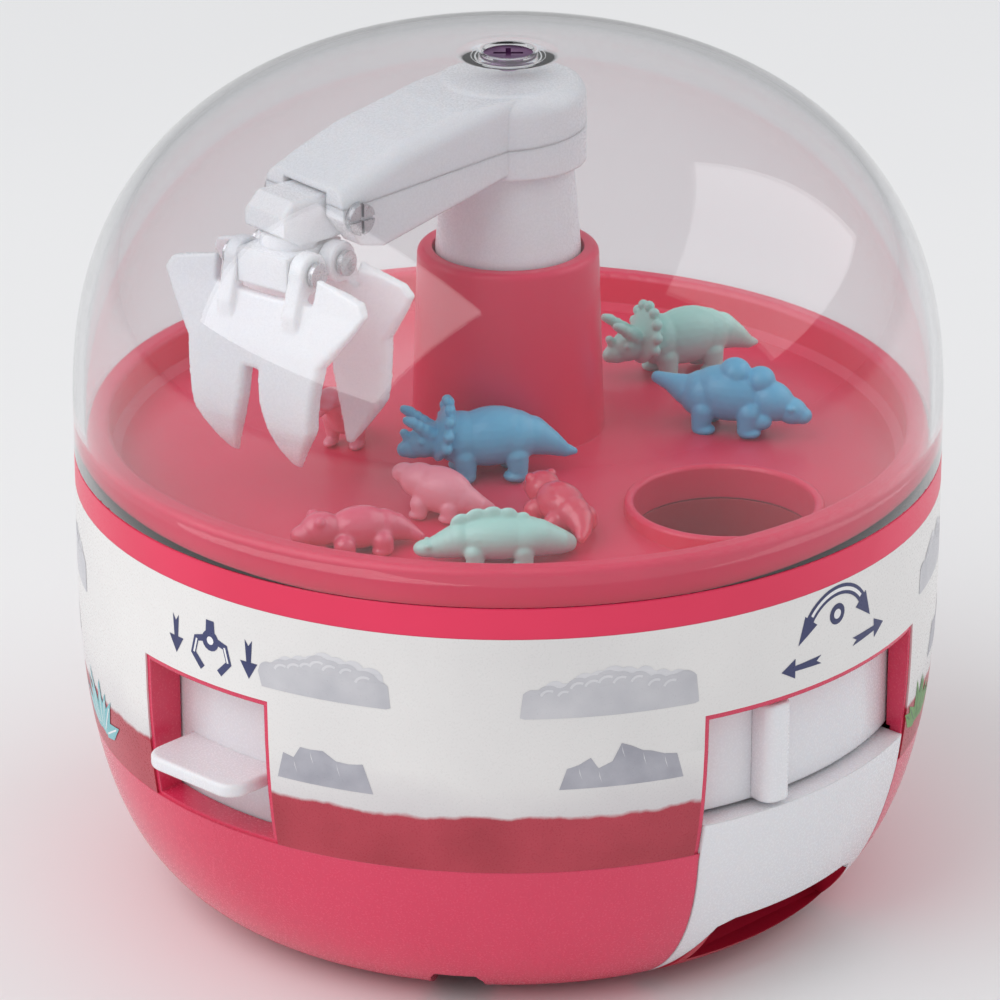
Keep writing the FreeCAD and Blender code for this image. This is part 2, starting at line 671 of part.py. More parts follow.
def forkShape():
    # bar from the lever plate to a fork round the lift collar
    low = float(d.collarHeight + d.collarWall + d.gap)
    high = low + float(d.forkThick)
    throat = float(collarGroove + d.gap)
    inner = float(leverInner)
    prongs = cyl(throat + 4.5, low, high).fuse(box(throat - 1.5, throat + 8.5, -7, 7, low, high))
    prongs = prongs.cut(cyl(throat, low - 1, high + 1))
    prongs = prongs.cut(box(-20, 0, -throat, throat, low - 1, high + 1))
    prongs = prongs.cut(box(-20, -5, -20, 20, low - 1, high + 1))
    bar = box(throat + 7.5, inner + 0.8, -4, 4, low, high)
    rib = prism([(inner + 0.6, low + 1), (inner + 0.6, low - 6), (inner - 16.4, low + 1)], "y", -1.0, 1.0)
    return bar.fuse([prongs, rib])


def grabLever():
    half = d.leverHalf + 0.9
    low, high = d.leverSill - 1.0, d.leverHead + d.leverTravel - 2.2
    plate = ring(leverInner, leverOuter, low, high)
    plate = plate.common(through(d.leverAzimuth, rectangle(half, low, high), 40.0))
    inside = placed(forkShape(), facing(d.leverAzimuth)).common(cyl(leverInner + 0.5, 0, 90))
    outside = placed(paddleShape(), facing(d.leverAzimuth)).cut(cyl(leverOuter - 0.5, 0, 90))
    feature("grab_lever", plate.fuse([inside, outside]).removeSplitter())


def liftStem():
    stem = cyl(d.stemRadius, d.stemFoot, d.columnFoot + 3).cut(cyl(d.rodRadius + d.runFit, 0, 90))
    half = float(d.keyHalf) + 0.2
    groove = box(d.stemRadius - 1.15, d.stemRadius + 2, -half, half, hubFoot - 1.5, hubFoot + 17.5)
    feature("lift_stem", stem.cut(groove))


def liftCollar():
    low, flange = d.collarHeight, collarGroove + 2.0
    grooveLow = low + d.collarWall
    grooveHigh = grooveLow + d.forkThick + d.gap * 2
    top = grooveHigh + d.collarWall
    keep("lift_collar", turned("liftCollarBody", [
        (d.stemRadius, low), (flange, low), (flange, grooveLow), (collarGroove, grooveLow),
        (collarGroove, grooveHigh), (flange, grooveHigh), (flange, top), (d.stemRadius, top)]))


def column():
    wall, foot, seat = d.columnWall, d.columnFoot, d.headFoot - 0.2
    keep("column", turned("columnBody", [
        (d.stemRadius, foot), (d.columnRadius, foot), (d.columnRadius, d.towerTop),
        (d.columnNeck + 0.3, seat),
        (d.columnNeck, seat), (d.columnNeck, d.columnTop), (d.columnNeck - wall, d.columnTop),
        (d.columnNeck - wall, seat - 1.4), (d.columnRadius - wall, d.towerTop),
        (d.columnRadius - wall, foot + 2), (d.stemRadius, foot + 2)]))


def guideRod():
    keep("guide_rod", cylinder("guideRodPin", d.rodRadius, 1.4, d.rodTop))


def returnSpring():
    low = 6.0 + float(d.wireRadius)
    high = float(d.stemFoot) - float(d.wireRadius) - 0.05
    pitch = (high - low) / float(d.springTurns)
    path = Part.makeHelix(pitch, high - low, float(d.springRadius))
    circle = Part.makeCircle(float(d.wireRadius), Vector(float(d.springRadius), 0, 0), Vector(0, 1, 0))
    coil = Part.Wire(path.Edges).makePipeShell([Part.Wire(circle)], True, True)
    feature("return_spring", coil, Placement(Vector(0, 0, low), Rotation()))


# ---- arm ----

def armSolid(inset):
    # arm over its whole length: a drooping beam and a round head, pulled in by the inset
    outline = [(0, 106.9), (28.6, 100.7), (32.4, 101.6), (35.4, 105.4), (35.2, 109.2), (31.0, 110.9),
               (24.0, 113.2), (14.0, 115.0), (0, 115.5)]
    middle = Vector(17.0, 0, 108.0)
    points = []
    for x, z in outline:
        away = Vector(x, 0, z) - middle
        away.x *= 1 - inset / max(abs(away.x), 6.0)
        away.z *= 1 - inset / max(abs(away.z), 4.0)
        points.append((middle.x + away.x, middle.z + away.z))
    half = float(d.armHalf) - inset
    beam = prism(points, "y", -half, half)
    beam = rounded(beam, max(2.4 - inset, 1.0), lambda e: e.BoundBox.YLength < 0.01
                   and e.BoundBox.ZMin > 104.0 and e.BoundBox.XLength > 1.0 and e.BoundBox.XMin > 1.0)
    head = cyl(float(d.headRadius) - inset, float(d.headFoot) + inset, float(d.headTop) - inset)
    head = rounded(head, max(2.6 - inset, 1.2), roundEdge(float(d.headTop) - inset))
    return beam, head


def armPieces():
    beam, head = armSolid(0.0)
    hollowBeam, hollowHead = armSolid(float(d.armWall))
    outside = beam.fuse(head)
    inside = hollowBeam.fuse(hollowHead)
    shell = outside.cut(inside)
    shell = shell.cut(cyl(d.columnNeck + 0.02, 90, d.columnTop + 0.1))
    shell = shell.cut(box(30.4, 40, -4.4, 4.4, 95, 108.4))
    wrist = Vector(float(d.wristReach), -15, float(d.wristHeight))
    shell = shell.cut(Part.makeCylinder(1.35, 30, wrist, Vector(0, 1, 0)))
    above = prism([(-20, 110.4), (40, 106.6), (40, 130), (-20, 130)], "y", -20, 20)
    cover = shell.common(above)
    lower = shell.cut(above)
    feature("arm_cover", cover.removeSplitter(), armFrame)
    feature("arm_beam", lower.removeSplitter(), armFrame)


def wristScrew():
    x, z = float(d.wristReach), float(d.wristHeight)
    half = float(d.armHalf)
    shank = Part.makeCylinder(1.2, 2 * half, Vector(x, -half, z), Vector(0, 1, 0))
    head = Part.makeCylinder(2.1, 1.1, Vector(x, half, z), Vector(0, 1, 0))
    nut = Part.makeCylinder(2.0, 0.8, Vector(x, -half - 0.8, z), Vector(0, 1, 0))
    slot = box(x - 2.4, x + 2.4, half + 0.6, half + 2, z - 0.25, z + 0.25)
    slot = slot.fuse(box(x - 0.25, x + 0.25, half + 0.6, half + 2, z - 2.4, z + 2.4))
    feature("wrist_screw", shank.fuse([head, nut]).cut(slot), armFrame)


def clawHub():
    # block in the arm's forked end, held by the wrist screw, with the jaws' yoke under it
    half = 4.1
    block = prism([(30.8, 102.4), (34.0, 102.0), (39.6, 102.0), (42.0, 103.6), (42.0, 106.2), (40.2, 108.0),
                   (30.8, 108.0)], "y", -half, half)
    block = rounded(block, 1.0, lambda e: e.BoundBox.ZMin > 105.9 and e.BoundBox.YLength < 0.01)
    yoke = box(-5.6, 5.6, -half, half, 96.6, 101.2).fuse(cyl(3.8, 101.0, 103.0))
    for side in (-1, 1):
        pin = Vector(side * float(d.jawPivot), -10, float(d.jawHeight))
        yoke = yoke.cut(Part.makeCylinder(1.0, 20, pin, Vector(0, 1, 0)))
    yoke = yoke.cut(box(-1.2, 1.2, -half - 1, half + 1, 90, 98.0))
    hub = placed(block, armFrame).fuse(placed(yoke, clawFrame))
    screw = Vector(float(d.wristReach), -15, float(d.wristHeight))
    hub = hub.cut(placed(Part.makeCylinder(1.35, 30, screw, Vector(0, 1, 0)), armFrame))
    feature("claw_hub", hub.removeSplitter())


def clawPins():
    solids = []
    for side in (-1, 1):
        x, z = side * float(d.jawPivot), float(d.jawHeight)
        pin = Part.makeCylinder(1.0, 13.6, Vector(x, -6.8, z), Vector(0, 1, 0))
        for low in (-7.5, 6.8):
            pin = pin.fuse(Part.makeCylinder(1.7, 0.7, Vector(x, low, z), Vector(0, 1, 0)))
        solids.append(placed(pin, clawFrame))
    feature("claw_pins", Part.makeCompound(solids))


def jawShape(side):
    # a curved plate cut to a winged outline with two hooked fingers
    tip, top = float(d.jawTip), float(d.jawHeight)
    wall = float(d.jawWall)
    outerCurve = Part.BSplineCurve()
    outerCurve.interpolate([Vector(4.4, 0, top + 3.0), Vector(6.4, 0, top - 6.0),
                            Vector(8.4, 0, top - 15.0), Vector(8.2, 0, tip + 6.0), Vector(5.6, 0, tip)])
    innerCurve = Part.BSplineCurve()
    innerCurve.interpolate([Vector(4.4 - wall, 0, top + 3.0), Vector(6.4 - wall, 0, top - 6.0),
                            Vector(8.3 - wall, 0, top - 15.0), Vector(8.2 - wall, 0, tip + 6.4),
                            Vector(5.1, 0, tip)])
    edges = [outerCurve.toShape(), innerCurve.toShape(),
             Part.makeLine(Vector(4.4, 0, top + 3.0), Vector(4.4 - wall, 0, top + 3.0)),
             Part.makeLine(Vector(5.6, 0, tip), Vector(5.1, 0, tip))]
    face = Part.Face(Part.Wire(Part.__sortEdges__(edges)))
    face.translate(Vector(0, -25, 0))
    sheetMetal = face.extrude(Vector(0, 50, 0))
    spread, span = float(d.fingerSpread), float(d.lobeSpan)
    half = [(0, top - 12.4), (1.5, top - 12.6), (1.9, top - 17.0), (spread - 1.6, tip + 4.0),
            (spread - 0.2, tip), (spread + 0.9, tip), (9.4, tip + 6.6), (9.9, top - 15.0),
            (10.6, top - 10.6), (span - 1.8, top - 5.6), (span, top - 3.2), (span - 1.0, top - 1.6),
            (8.4, top + 0.2), (8.2, top - 3.4), (0, top - 3.6)]
    outline = half + [(-y, z) for y, z in reversed(half) if y > 0]
    plate = sheetMetal.common(prism(outline, "x", -5, 20))
    pivot, height = float(d.jawPivot), float(d.jawHeight)
    knuckles = []
    for low in (-6.5, 4.3):
        arm = prism([(pivot - 2.4, height - 1.4), (pivot + 1.0, height - 2.8), (6.2, height - 6.0),
                     (5.0, height - 9.0), (6.4, height - 9.0), (7.2, height - 5.0), (5.4, height + 0.8),
                     (pivot + 1.4, height + 2.4), (pivot - 1.0, height + 2.6)], "y", low, low + 2.2)
        disc = Part.makeCylinder(2.75, 2.2, Vector(pivot, low, height), Vector(0, 1, 0))
        knuckles.append(arm.fuse(disc))
    jaw = plate.fuse(knuckles)
    jaw = jaw.cut(Part.makeCylinder(1.1, 30, Vector(pivot, -15, height), Vector(0, 1, 0)))
    if side < 0:
        jaw = jaw.mirror(Vector(), Vector(1, 0, 0))
    return jaw


def jaws():
    for name, side in (("outer_jaw", 1), ("inner_jaw", -1)):
        feature(name, jawShape(side), clawFrame)


# ---- fasteners ----

def caseScrews():
    solids = []
    for azimuth in legAzimuths:
        x, y = atAzimuth(azimuth, d.legReach)
        solids.append(cyl(d.screwHead, 0.4, 1.2, x, y).fuse(cyl(d.screwRadius, 1.2, 11.0, x, y)))
    feature("case_screws", Part.makeCompound(solids))


def trayScrews():
    solids = []
    low = float(d.deckHeight)
    for azimuth in postAzimuths:
        x, y = atAzimuth(azimuth, d.postReach)
        shank = cyl(d.screwRadius, low, d.postJoint + 3.5, x, y)
        solids.append(cyl(d.screwHead, low - 1.4, low, x, y).fuse(shank))
    feature("tray_screws", Part.makeCompound(solids))


# ---- prizes ----

def figureShape(long, tall):
    # plain walking animal lying along +X, feet at zero
    half, middle = long / 2.0, tall * 0.56
    outline = [(-half, 0.0), (-half, 0.13), (-half * 0.76, 0.26), (-half * 0.5, 0.22), (-half * 0.2, 0.36),
               (half * 0.2, 0.34), (half * 0.55, 0.15), (half, 0.04), (half, 0.0)]
    points = [Vector(along, 0, middle + share * tall) for along, share in outline]
    face = Part.Face(Part.makePolygon(points + points[:1]))
    figure = face.revolve(Vector(0, 0, middle), Vector(1, 0, 0), 360)
    for x in (-half * 0.34, half * 0.14):
        for y in (-tall * 0.19, tall * 0.19):
            figure = figure.fuse(Part.makeCylinder(tall * 0.12, middle, Vector(x, y, 0)))
    return figure


# each: azimuth, middle beyond the tower's foot, heading, length, height
figures = {
    "prize_horned_blue": (-10.77, 5.43, 178.0, 23.0, 11.0),
    "prize_horned_mint": (133.78, 19.94, 160.0, 20.0, 10.0),
    "prize_crested_blue": (90.92, 17.70, 12.0, 21.0, 10.0),
    "prize_plated_mint": (-2.33, 30.94, 184.0, 21.0, 6.8),
    "prize_small_pink": (-17.51, 17.95, 160.0, 13.0, 6.8),
    "prize_long_pink": (-26.80, 31.06, 20.0, 16.0, 6.8),
    "prize_tall_pink": (-70.35, 10.49, 70.0, 15.0, 9.0),
    "prize_clear_red": (10.98, 20.31, 120.0, 18.0, 6.8),
}


def prizes():
    for name, (azimuth, beyond, heading, long, tall) in figures.items():
        reach = float(towerFootRadius) + beyond
        x, y = atAzimuth(azimuth, reach)
        turn = Rotation(Vector(0, 0, 1), heading)
        feature(name, figureShape(long, tall), Placement(Vector(x, y, floorHeight(reach) + 0.5), turn))


baseShell()
labelWrap()
outletPanel()
prizeRamp()
chuteTube()
bottomPlate()
tray()
dome()
apexScrew()
gearDeck()
turretGear()
turretClip()
idlers()
idlerScrews()
sliderRing()
sliderKnob()
grabLever()
liftStem()
liftCollar()
column()
guideRod()
returnSpring()
armPieces()
wristScrew()
clawHub()
clawPins()
jaws()
caseScrews()
trayScrews()
prizes()

doc.recompute()
for item in doc.Objects:
    if "Invalid" in item.State or "Error" in item.State:
        raise RuntimeError("failed object: " + item.Label)
os.makedirs("parts", exist_ok=True)
for item in subParts:
    shape = item.Shape
    if shape.isNull() or not shape.isValid():
        raise RuntimeError("bad shape: " + item.Label)
    shape.exportStep("parts/%s.step" % item.Label)
    print("%-22s %9.1f mm3 %d solid(s)" % (item.Label, shape.Volume, len(shape.Solids)))
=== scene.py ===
import json
import math
import random

import bmesh
import bpy
from mathutils import Matrix, Vector
from mathutils.geometry import tessellate_polygon


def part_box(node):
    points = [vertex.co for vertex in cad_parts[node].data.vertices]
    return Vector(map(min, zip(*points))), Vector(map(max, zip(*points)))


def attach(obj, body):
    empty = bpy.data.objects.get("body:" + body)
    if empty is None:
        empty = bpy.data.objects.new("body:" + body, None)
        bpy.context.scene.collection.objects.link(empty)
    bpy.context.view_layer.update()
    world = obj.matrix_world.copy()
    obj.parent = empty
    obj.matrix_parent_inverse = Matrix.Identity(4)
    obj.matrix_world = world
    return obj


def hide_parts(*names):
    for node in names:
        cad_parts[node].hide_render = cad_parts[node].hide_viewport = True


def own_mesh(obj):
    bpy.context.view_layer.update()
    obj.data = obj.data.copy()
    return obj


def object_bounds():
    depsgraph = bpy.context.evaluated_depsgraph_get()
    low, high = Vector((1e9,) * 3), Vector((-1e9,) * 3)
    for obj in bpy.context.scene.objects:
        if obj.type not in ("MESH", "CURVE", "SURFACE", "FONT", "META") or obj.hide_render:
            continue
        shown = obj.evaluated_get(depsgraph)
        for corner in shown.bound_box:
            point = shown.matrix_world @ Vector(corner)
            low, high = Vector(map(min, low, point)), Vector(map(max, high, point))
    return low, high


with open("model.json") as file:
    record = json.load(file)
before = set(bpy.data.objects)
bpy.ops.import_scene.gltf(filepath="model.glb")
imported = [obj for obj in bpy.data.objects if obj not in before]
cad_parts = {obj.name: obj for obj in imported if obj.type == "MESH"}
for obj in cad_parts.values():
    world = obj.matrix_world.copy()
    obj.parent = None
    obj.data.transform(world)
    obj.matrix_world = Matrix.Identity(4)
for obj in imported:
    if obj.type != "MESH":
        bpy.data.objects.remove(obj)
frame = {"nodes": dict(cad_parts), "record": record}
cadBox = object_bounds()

mm = 0.001
nodes = frame["nodes"]

toy = {
    "radius": cadBox[1][0] / mm,        # outside of bowl and dome
    "top": cadBox[1][2] / mm,
    "foot": 35.3,
    "rise": 49.4,                       # bowl wall is upright above this height
    "bowlPower": 2.6,
    "domeStart": 69.3,
    "domePower": 2.42,
}


def boxCentre(node):
    low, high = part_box(node)
    return (low + high) / 2


def bowlRadius(height):
    if height >= toy["rise"]:
        return toy["radius"]
    share = (toy["rise"] - height) / toy["rise"]
    power = toy["bowlPower"]
    return toy["foot"] + (toy["radius"] - toy["foot"]) * (1 - share ** power) ** (1 / power)


def domeRadius(height):
    if height <= toy["domeStart"]:
        return toy["radius"]
    share = min(1.0, (height - toy["domeStart"]) / (toy["top"] - toy["domeStart"]))
    return toy["radius"] * (1 - share ** toy["domePower"]) ** (1 / toy["domePower"])


def onBowl(azimuth, height, lift):
    # a point just proud of the bowl's wall
    radius = bowlRadius(height) + lift
    angle = math.radians(azimuth)
    return Vector((radius * math.sin(angle), -radius * math.cos(angle), height)) * mm


def newGroup(name, inputs, outputs):
    group = bpy.data.node_groups.new(name, "ShaderNodeTree")
    for label, kind, value in inputs:
        socket = group.interface.new_socket(label, in_out="INPUT", socket_type=kind)
        socket.default_value = value
    for label, kind in outputs:
        group.interface.new_socket(label, in_out="OUTPUT", socket_type=kind)
    tree = group.nodes
    return group, tree.new("NodeGroupInput"), tree.new("NodeGroupOutput")


def noiseNode(group, scale, detail, coordinates):
    noise = group.nodes.new("ShaderNodeTexNoise")
    noise.inputs["Scale"].default_value = scale
    noise.inputs["Detail"].default_value = detail
    group.links.new(coordinates, noise.inputs["Vector"])
    return noise


def colourMix(tree, links, factor, first, second):
    mix = tree.new("ShaderNodeMix")
    mix.data_type = "RGBA"
    for socket, value in ((0, factor), (6, first), (7, second)):
        if isinstance(value, bpy.types.NodeSocket):
            links.new(value, mix.inputs[socket])
        else:
            mix.inputs[socket].default_value = value
    return mix.outputs[2]


def spread(tree, links, value, low, high):
    # maps a 0.3 to 0.7 noise on to low and high
    remap = tree.new("ShaderNodeMapRange")
    remap.inputs["From Min"].default_value = 0.3
    remap.inputs["From Max"].default_value = 0.7
    links.new(value, remap.inputs["Value"])
    for name, number in (("To Min", low), ("To Max", high)):
        if isinstance(number, bpy.types.NodeSocket):
            links.new(number, remap.inputs[name])
        else:
            remap.inputs[name].default_value = number
    return remap.outputs["Result"]


def makeMouldedGroup():
    # slow colour drift and a fine satin break-up, as injection-moulded plastic has
    group, given, result = newGroup("mouldedPlastic", [
        ("Tint", "NodeSocketColor", (0.8, 0.8, 0.8, 1)), ("Shade", "NodeSocketColor", (0.7, 0.7, 0.7, 1)),
        ("Drift", "NodeSocketFloat", 40.0), ("Roughness Low", "NodeSocketFloat", 0.2),
        ("Roughness High", "NodeSocketFloat", 0.35)],
        [("Color", "NodeSocketColor"), ("Roughness", "NodeSocketFloat"), ("Height", "NodeSocketFloat")])
    tree, links = group.nodes, group.links
    place = tree.new("ShaderNodeTexCoord").outputs["Object"]
    slow = noiseNode(group, 40.0, 3.0, place)
    links.new(given.outputs["Drift"], slow.inputs["Scale"])
    fine = noiseNode(group, 3600.0, 3.0, place)
    factor = spread(tree, links, slow.outputs["Fac"], 0.0, 1.0)
    tint = colourMix(tree, links, factor, given.outputs["Tint"], given.outputs["Shade"])
    links.new(tint, result.inputs["Color"])
    rough = spread(tree, links, fine.outputs["Fac"], given.outputs["Roughness Low"],
                   given.outputs["Roughness High"])
    links.new(rough, result.inputs["Roughness"])
    links.new(fine.outputs["Fac"], result.inputs["Height"])
    return group


def makeScuffGroup():
    # fine straight handling scratches in two directions
    group, given, result = newGroup("handlingScuffs", [
        ("Density", "NodeSocketFloat", 260.0), ("Strength", "NodeSocketFloat", 0.12)],
        [("Mask", "NodeSocketFloat")])
    tree, links = group.nodes, group.links
    place = tree.new("ShaderNodeTexCoord").outputs["Object"]
    masks = []
    for turn in (0.4, -0.9):
        mapping = tree.new("ShaderNodeMapping")
        mapping.inputs["Rotation"].default_value = (0.3, turn, turn)
        mapping.inputs["Scale"].default_value = (1.0, 0.04, 0.3)
        links.new(place, mapping.inputs["Vector"])
        noise = noiseNode(group, 260.0, 2.0, mapping.outputs["Vector"])
        links.new(given.outputs["Density"], noise.inputs["Scale"])
        cut = tree.new("ShaderNodeMapRange")
        cut.inputs["From Min"].default_value = 0.66
        cut.inputs["From Max"].default_value = 0.78
        links.new(noise.outputs["Fac"], cut.inputs["Value"])
        masks.append(cut.outputs["Result"])
    both = tree.new("ShaderNodeMath")
    both.operation = "MAXIMUM"
    links.new(masks[0], both.inputs[0])
    links.new(masks[1], both.inputs[1])
    scale = tree.new("ShaderNodeMath")
    scale.operation = "MULTIPLY"
    links.new(both.outputs[0], scale.inputs[0])
    links.new(given.outputs["Strength"], scale.inputs[1])
    links.new(scale.outputs[0], result.inputs["Mask"])
    return group


moulded = makeMouldedGroup()
scuffs = makeScuffGroup()


def newMaterial(name):
    material = bpy.data.materials.new(name)
    material.use_nodes = True
    tree = material.node_tree
    return material, tree.nodes, tree.links, tree.nodes["Principled BSDF"]


def useGroup(tree, group, **values):
    node = tree.new("ShaderNodeGroup")
    node.node_tree = group
    for name, value in values.items():
        node.inputs[name.replace("_", " ")].default_value = value
    return node


def wornRoughness(tree, links, skin, wear, shader):
    # scuffs add to the roughness of the moulded skin
    add = tree.new("ShaderNodeMath")
    add.operation = "ADD"
    links.new(skin.outputs["Roughness"], add.inputs[0])
    links.new(wear.outputs["Mask"], add.inputs[1])
    links.new(add.outputs[0], shader.inputs["Roughness"])


def fineBump(tree, links, skin, shader, strength):
    bump = tree.new("ShaderNodeBump")
    bump.inputs["Strength"].default_value = strength
    bump.inputs["Distance"].default_value = 0.1 * mm
    links.new(skin.outputs["Height"], bump.inputs["Height"])
    links.new(bump.outputs["Normal"], shader.inputs["Normal"])
    return bump


def colour(red, green, blue):
    # sRGB numbers from 0 to 255 to a linear colour
    linear = []
    for value in (red, green, blue):
        value /= 255.0
        linear.append(value / 12.92 if value <= 0.04045 else ((value + 0.055) / 1.055) ** 2.4)
    return (*linear, 1.0)


def plastic(name, tint, shade, gloss=(0.18, 0.3), drift=40.0, grain=0.02, inner=0.0, coat=0.0, edge=0.0,
            scratch=0.06):
    material, tree, links, shader = newMaterial(name)
    skin = useGroup(tree, moulded, Tint=tint, Shade=shade, Drift=drift, Roughness_Low=gloss[0],
                    Roughness_High=gloss[1])
    links.new(skin.outputs["Color"], shader.inputs["Base Color"])
    wear = useGroup(tree, scuffs, Strength=scratch)
    wornRoughness(tree, links, skin, wear, shader)
    bump = fineBump(tree, links, skin, shader, grain)
    if edge:
        soft = tree.new("ShaderNodeBevel")
        soft.samples = 4
        soft.inputs["Radius"].default_value = edge * mm
        links.new(soft.outputs["Normal"], bump.inputs["Normal"])
    if inner:
        shader.inputs["Subsurface Weight"].default_value = inner
        shader.inputs["Subsurface Radius"].default_value = (1.0, 0.8, 0.7)
        shader.inputs["Subsurface Scale"].default_value = 2.0 * mm
    shader.inputs["Coat Weight"].default_value = coat
    shader.inputs["Coat Roughness"].default_value = 0.08
    return material


def clearPlastic(name):
    material, tree, links, shader = newMaterial(name)
    skin = useGroup(tree, moulded, Tint=(0.90, 0.90, 0.91, 1), Shade=(0.86, 0.86, 0.875, 1), Drift=18.0,
                    Roughness_Low=0.0, Roughness_High=0.03)
    links.new(skin.outputs["Color"], shader.inputs["Base Color"])
    wear = useGroup(tree, scuffs, Density=190.0, Strength=0.06)
    wornRoughness(tree, links, skin, wear, shader)
    shader.inputs["IOR"].default_value = 1.5
    shader.inputs["Transmission Weight"].default_value = 1.0
    light = tree.new("ShaderNodeLightPath")
    either = tree.new("ShaderNodeMath")
    either.operation = "MAXIMUM"
    links.new(light.outputs["Is Shadow Ray"], either.inputs[0])
    links.new(light.outputs["Is Diffuse Ray"], either.inputs[1])
    clear = tree.new("ShaderNodeBsdfTransparent")
    clear.inputs["Color"].default_value = (0.95, 0.95, 0.955, 1)
    mix = tree.new("ShaderNodeMixShader")
    links.new(either.outputs[0], mix.inputs[0])
    links.new(shader.outputs[0], mix.inputs[1])
    links.new(clear.outputs[0], mix.inputs[2])
    links.new(mix.outputs[0], tree["Material Output"].inputs["Surface"])
    return material


def metal(name, tint, shade, gloss=(0.22, 0.4)):
    material, tree, links, shader = newMaterial(name)
    skin = useGroup(tree, moulded, Tint=tint, Shade=shade, Drift=300.0, Roughness_Low=gloss[0],
                    Roughness_High=gloss[1])
    links.new(skin.outputs["Color"], shader.inputs["Base Color"])
    wear = useGroup(tree, scuffs, Density=700.0, Strength=0.2)
    wornRoughness(tree, links, skin, wear, shader)
    shader.inputs["Metallic"].default_value = 1.0
    return material


ground = {
    "edge": 33.4,                      # height of the red strip's upper edge
    "white": colour(236, 234, 232),
    "offWhite": colour(224, 222, 221),
    "haze": colour(212, 208, 210),
    "red": colour(188, 58, 76),
    "darkRed": colour(168, 46, 62),
}


def printedLabel(name):
    # glossy printed wrap: white above, a red ground strip with a ragged, hazy edge below
    material, tree, links, shader = newMaterial(name)
    place = tree.new("ShaderNodeTexCoord").outputs["Object"]
    split = tree.new("ShaderNodeSeparateXYZ")
    links.new(place, split.inputs[0])

    def noise(scale, detail):
        node = tree.new("ShaderNodeTexNoise")
        node.inputs["Scale"].default_value = scale
        node.inputs["Detail"].default_value = detail
        links.new(place, node.inputs["Vector"])
        return node.outputs["Fac"]

    def step(value, low, high):
        node = tree.new("ShaderNodeMapRange")
        node.inputs["From Min"].default_value = low
        node.inputs["From Max"].default_value = high
        links.new(value, node.inputs["Value"])
        return node.outputs["Result"]

    def ragged(amount, scale):
        node = tree.new("ShaderNodeMath")
        node.operation = "MULTIPLY_ADD"
        node.inputs[1].default_value = amount
        links.new(noise(scale, 5.0), node.inputs[0])
        links.new(split.outputs["Z"], node.inputs[2])
        return node.outputs[0]

    edge = ground["edge"] * mm
    paper = colourMix(tree, links, step(noise(26.0, 4.0), 0.35, 0.7), ground["white"], ground["offWhite"])
    haze = step(ragged(0.012, 60.0), edge + 0.0115, edge + 0.0035)
    sky = colourMix(tree, links, haze, paper, ground["haze"])
    soil = colourMix(tree, links, step(noise(70.0, 6.0), 0.35, 0.65), ground["red"], ground["darkRed"])
    strip = step(ragged(0.0035, 120.0), edge + 0.0022, edge + 0.0016)
    links.new(colourMix(tree, links, strip, sky, soil), shader.inputs["Base Color"])
    skin = useGroup(tree, moulded, Roughness_Low=0.24, Roughness_High=0.36)
    wear = useGroup(tree, scuffs, Strength=0.08)
    wornRoughness(tree, links, skin, wear, shader)
    fineBump(tree, links, skin, shader, 0.04)
    return material


pink = plastic("bowlPink", colour(226, 58, 96), colour(219, 53, 90), gloss=(0.2, 0.3), coat=0.25, edge=0.35,
               inner=0.12)
trayPink = plastic("trayPink", colour(236, 44, 90), colour(226, 38, 82), gloss=(0.3, 0.42), coat=0.1,
                   edge=0.3, inner=0.1)
deepRed = plastic("innerRed", colour(196, 28, 58), colour(182, 22, 50), gloss=(0.3, 0.45), edge=0.2)
labelInk = printedLabel("printedWrap")
white = plastic("controlWhite", colour(236, 236, 239), colour(231, 231, 235), gloss=(0.2, 0.32), inner=0.25,
                coat=0.1, edge=0.4)
clawWhite = plastic("clawWhite", colour(243, 243, 245), colour(238, 238, 242), gloss=(0.2, 0.34), inner=0.45,
                    edge=0.5)
gearWhite = plastic("gearNylon", colour(226, 224, 216), colour(212, 210, 200), gloss=(0.38, 0.52), inner=0.2,
                    edge=0.15)
clearDome = clearPlastic("clearDome")
steel = metal("screwSteel", (0.62, 0.62, 0.64, 1), (0.48, 0.48, 0.5, 1))
darkScrew = metal("violetScrew", colour(150, 104, 150), colour(104, 68, 112), gloss=(0.3, 0.45))
springSteel = metal("springSteel", (0.72, 0.72, 0.73, 1), (0.6, 0.6, 0.62, 1), gloss=(0.12, 0.22))
prizeBlue = plastic("prizeBlue", colour(122, 200, 232), colour(100, 180, 222), gloss=(0.3, 0.42), inner=0.3)
prizeMint = plastic("prizeMint", colour(186, 230, 220), colour(168, 218, 210), gloss=(0.3, 0.42), inner=0.35)
prizePink = plastic("prizePink", colour(248, 160, 176), colour(240, 142, 160), gloss=(0.25, 0.4), inner=0.4)
prizeRose = plastic("prizeRose", colour(236, 100, 128), colour(226, 84, 114), gloss=(0.12, 0.24), inner=0.4,
                    coat=0.4)
prizeRed = plastic("prizeRed", colour(232, 84, 108), colour(220, 64, 92), gloss=(0.08, 0.18), inner=0.6,
                   coat=0.5)

finishes = {
    "body_pink": pink, "deep_red": deepRed, "label_print": labelInk, "white_plastic": white,
    "claw_white": clawWhite, "clear_dome": clearDome, "gear_white": gearWhite, "screw_steel": steel,
    "dark_screw": darkScrew, "spring_steel": springSteel, "prize_blue": prizeBlue, "prize_mint": prizeMint,
    "prize_pink": prizePink, "prize_red": prizeRed,
}
slotOf = {part["node"]: part["material_slot"] for part in frame["record"]["subparts"]}
for name, item in nodes.items():
    finish = trayPink if name == "prize_tray" else finishes[slotOf[name]]
    if not item.material_slots:
        item.data.materials.append(finish)
    for slot in item.material_slots:
        slot.material = finish
print("materials ready")


def smoothFaces(mesh):
    for face in mesh.polygons:
        face.use_smooth = True


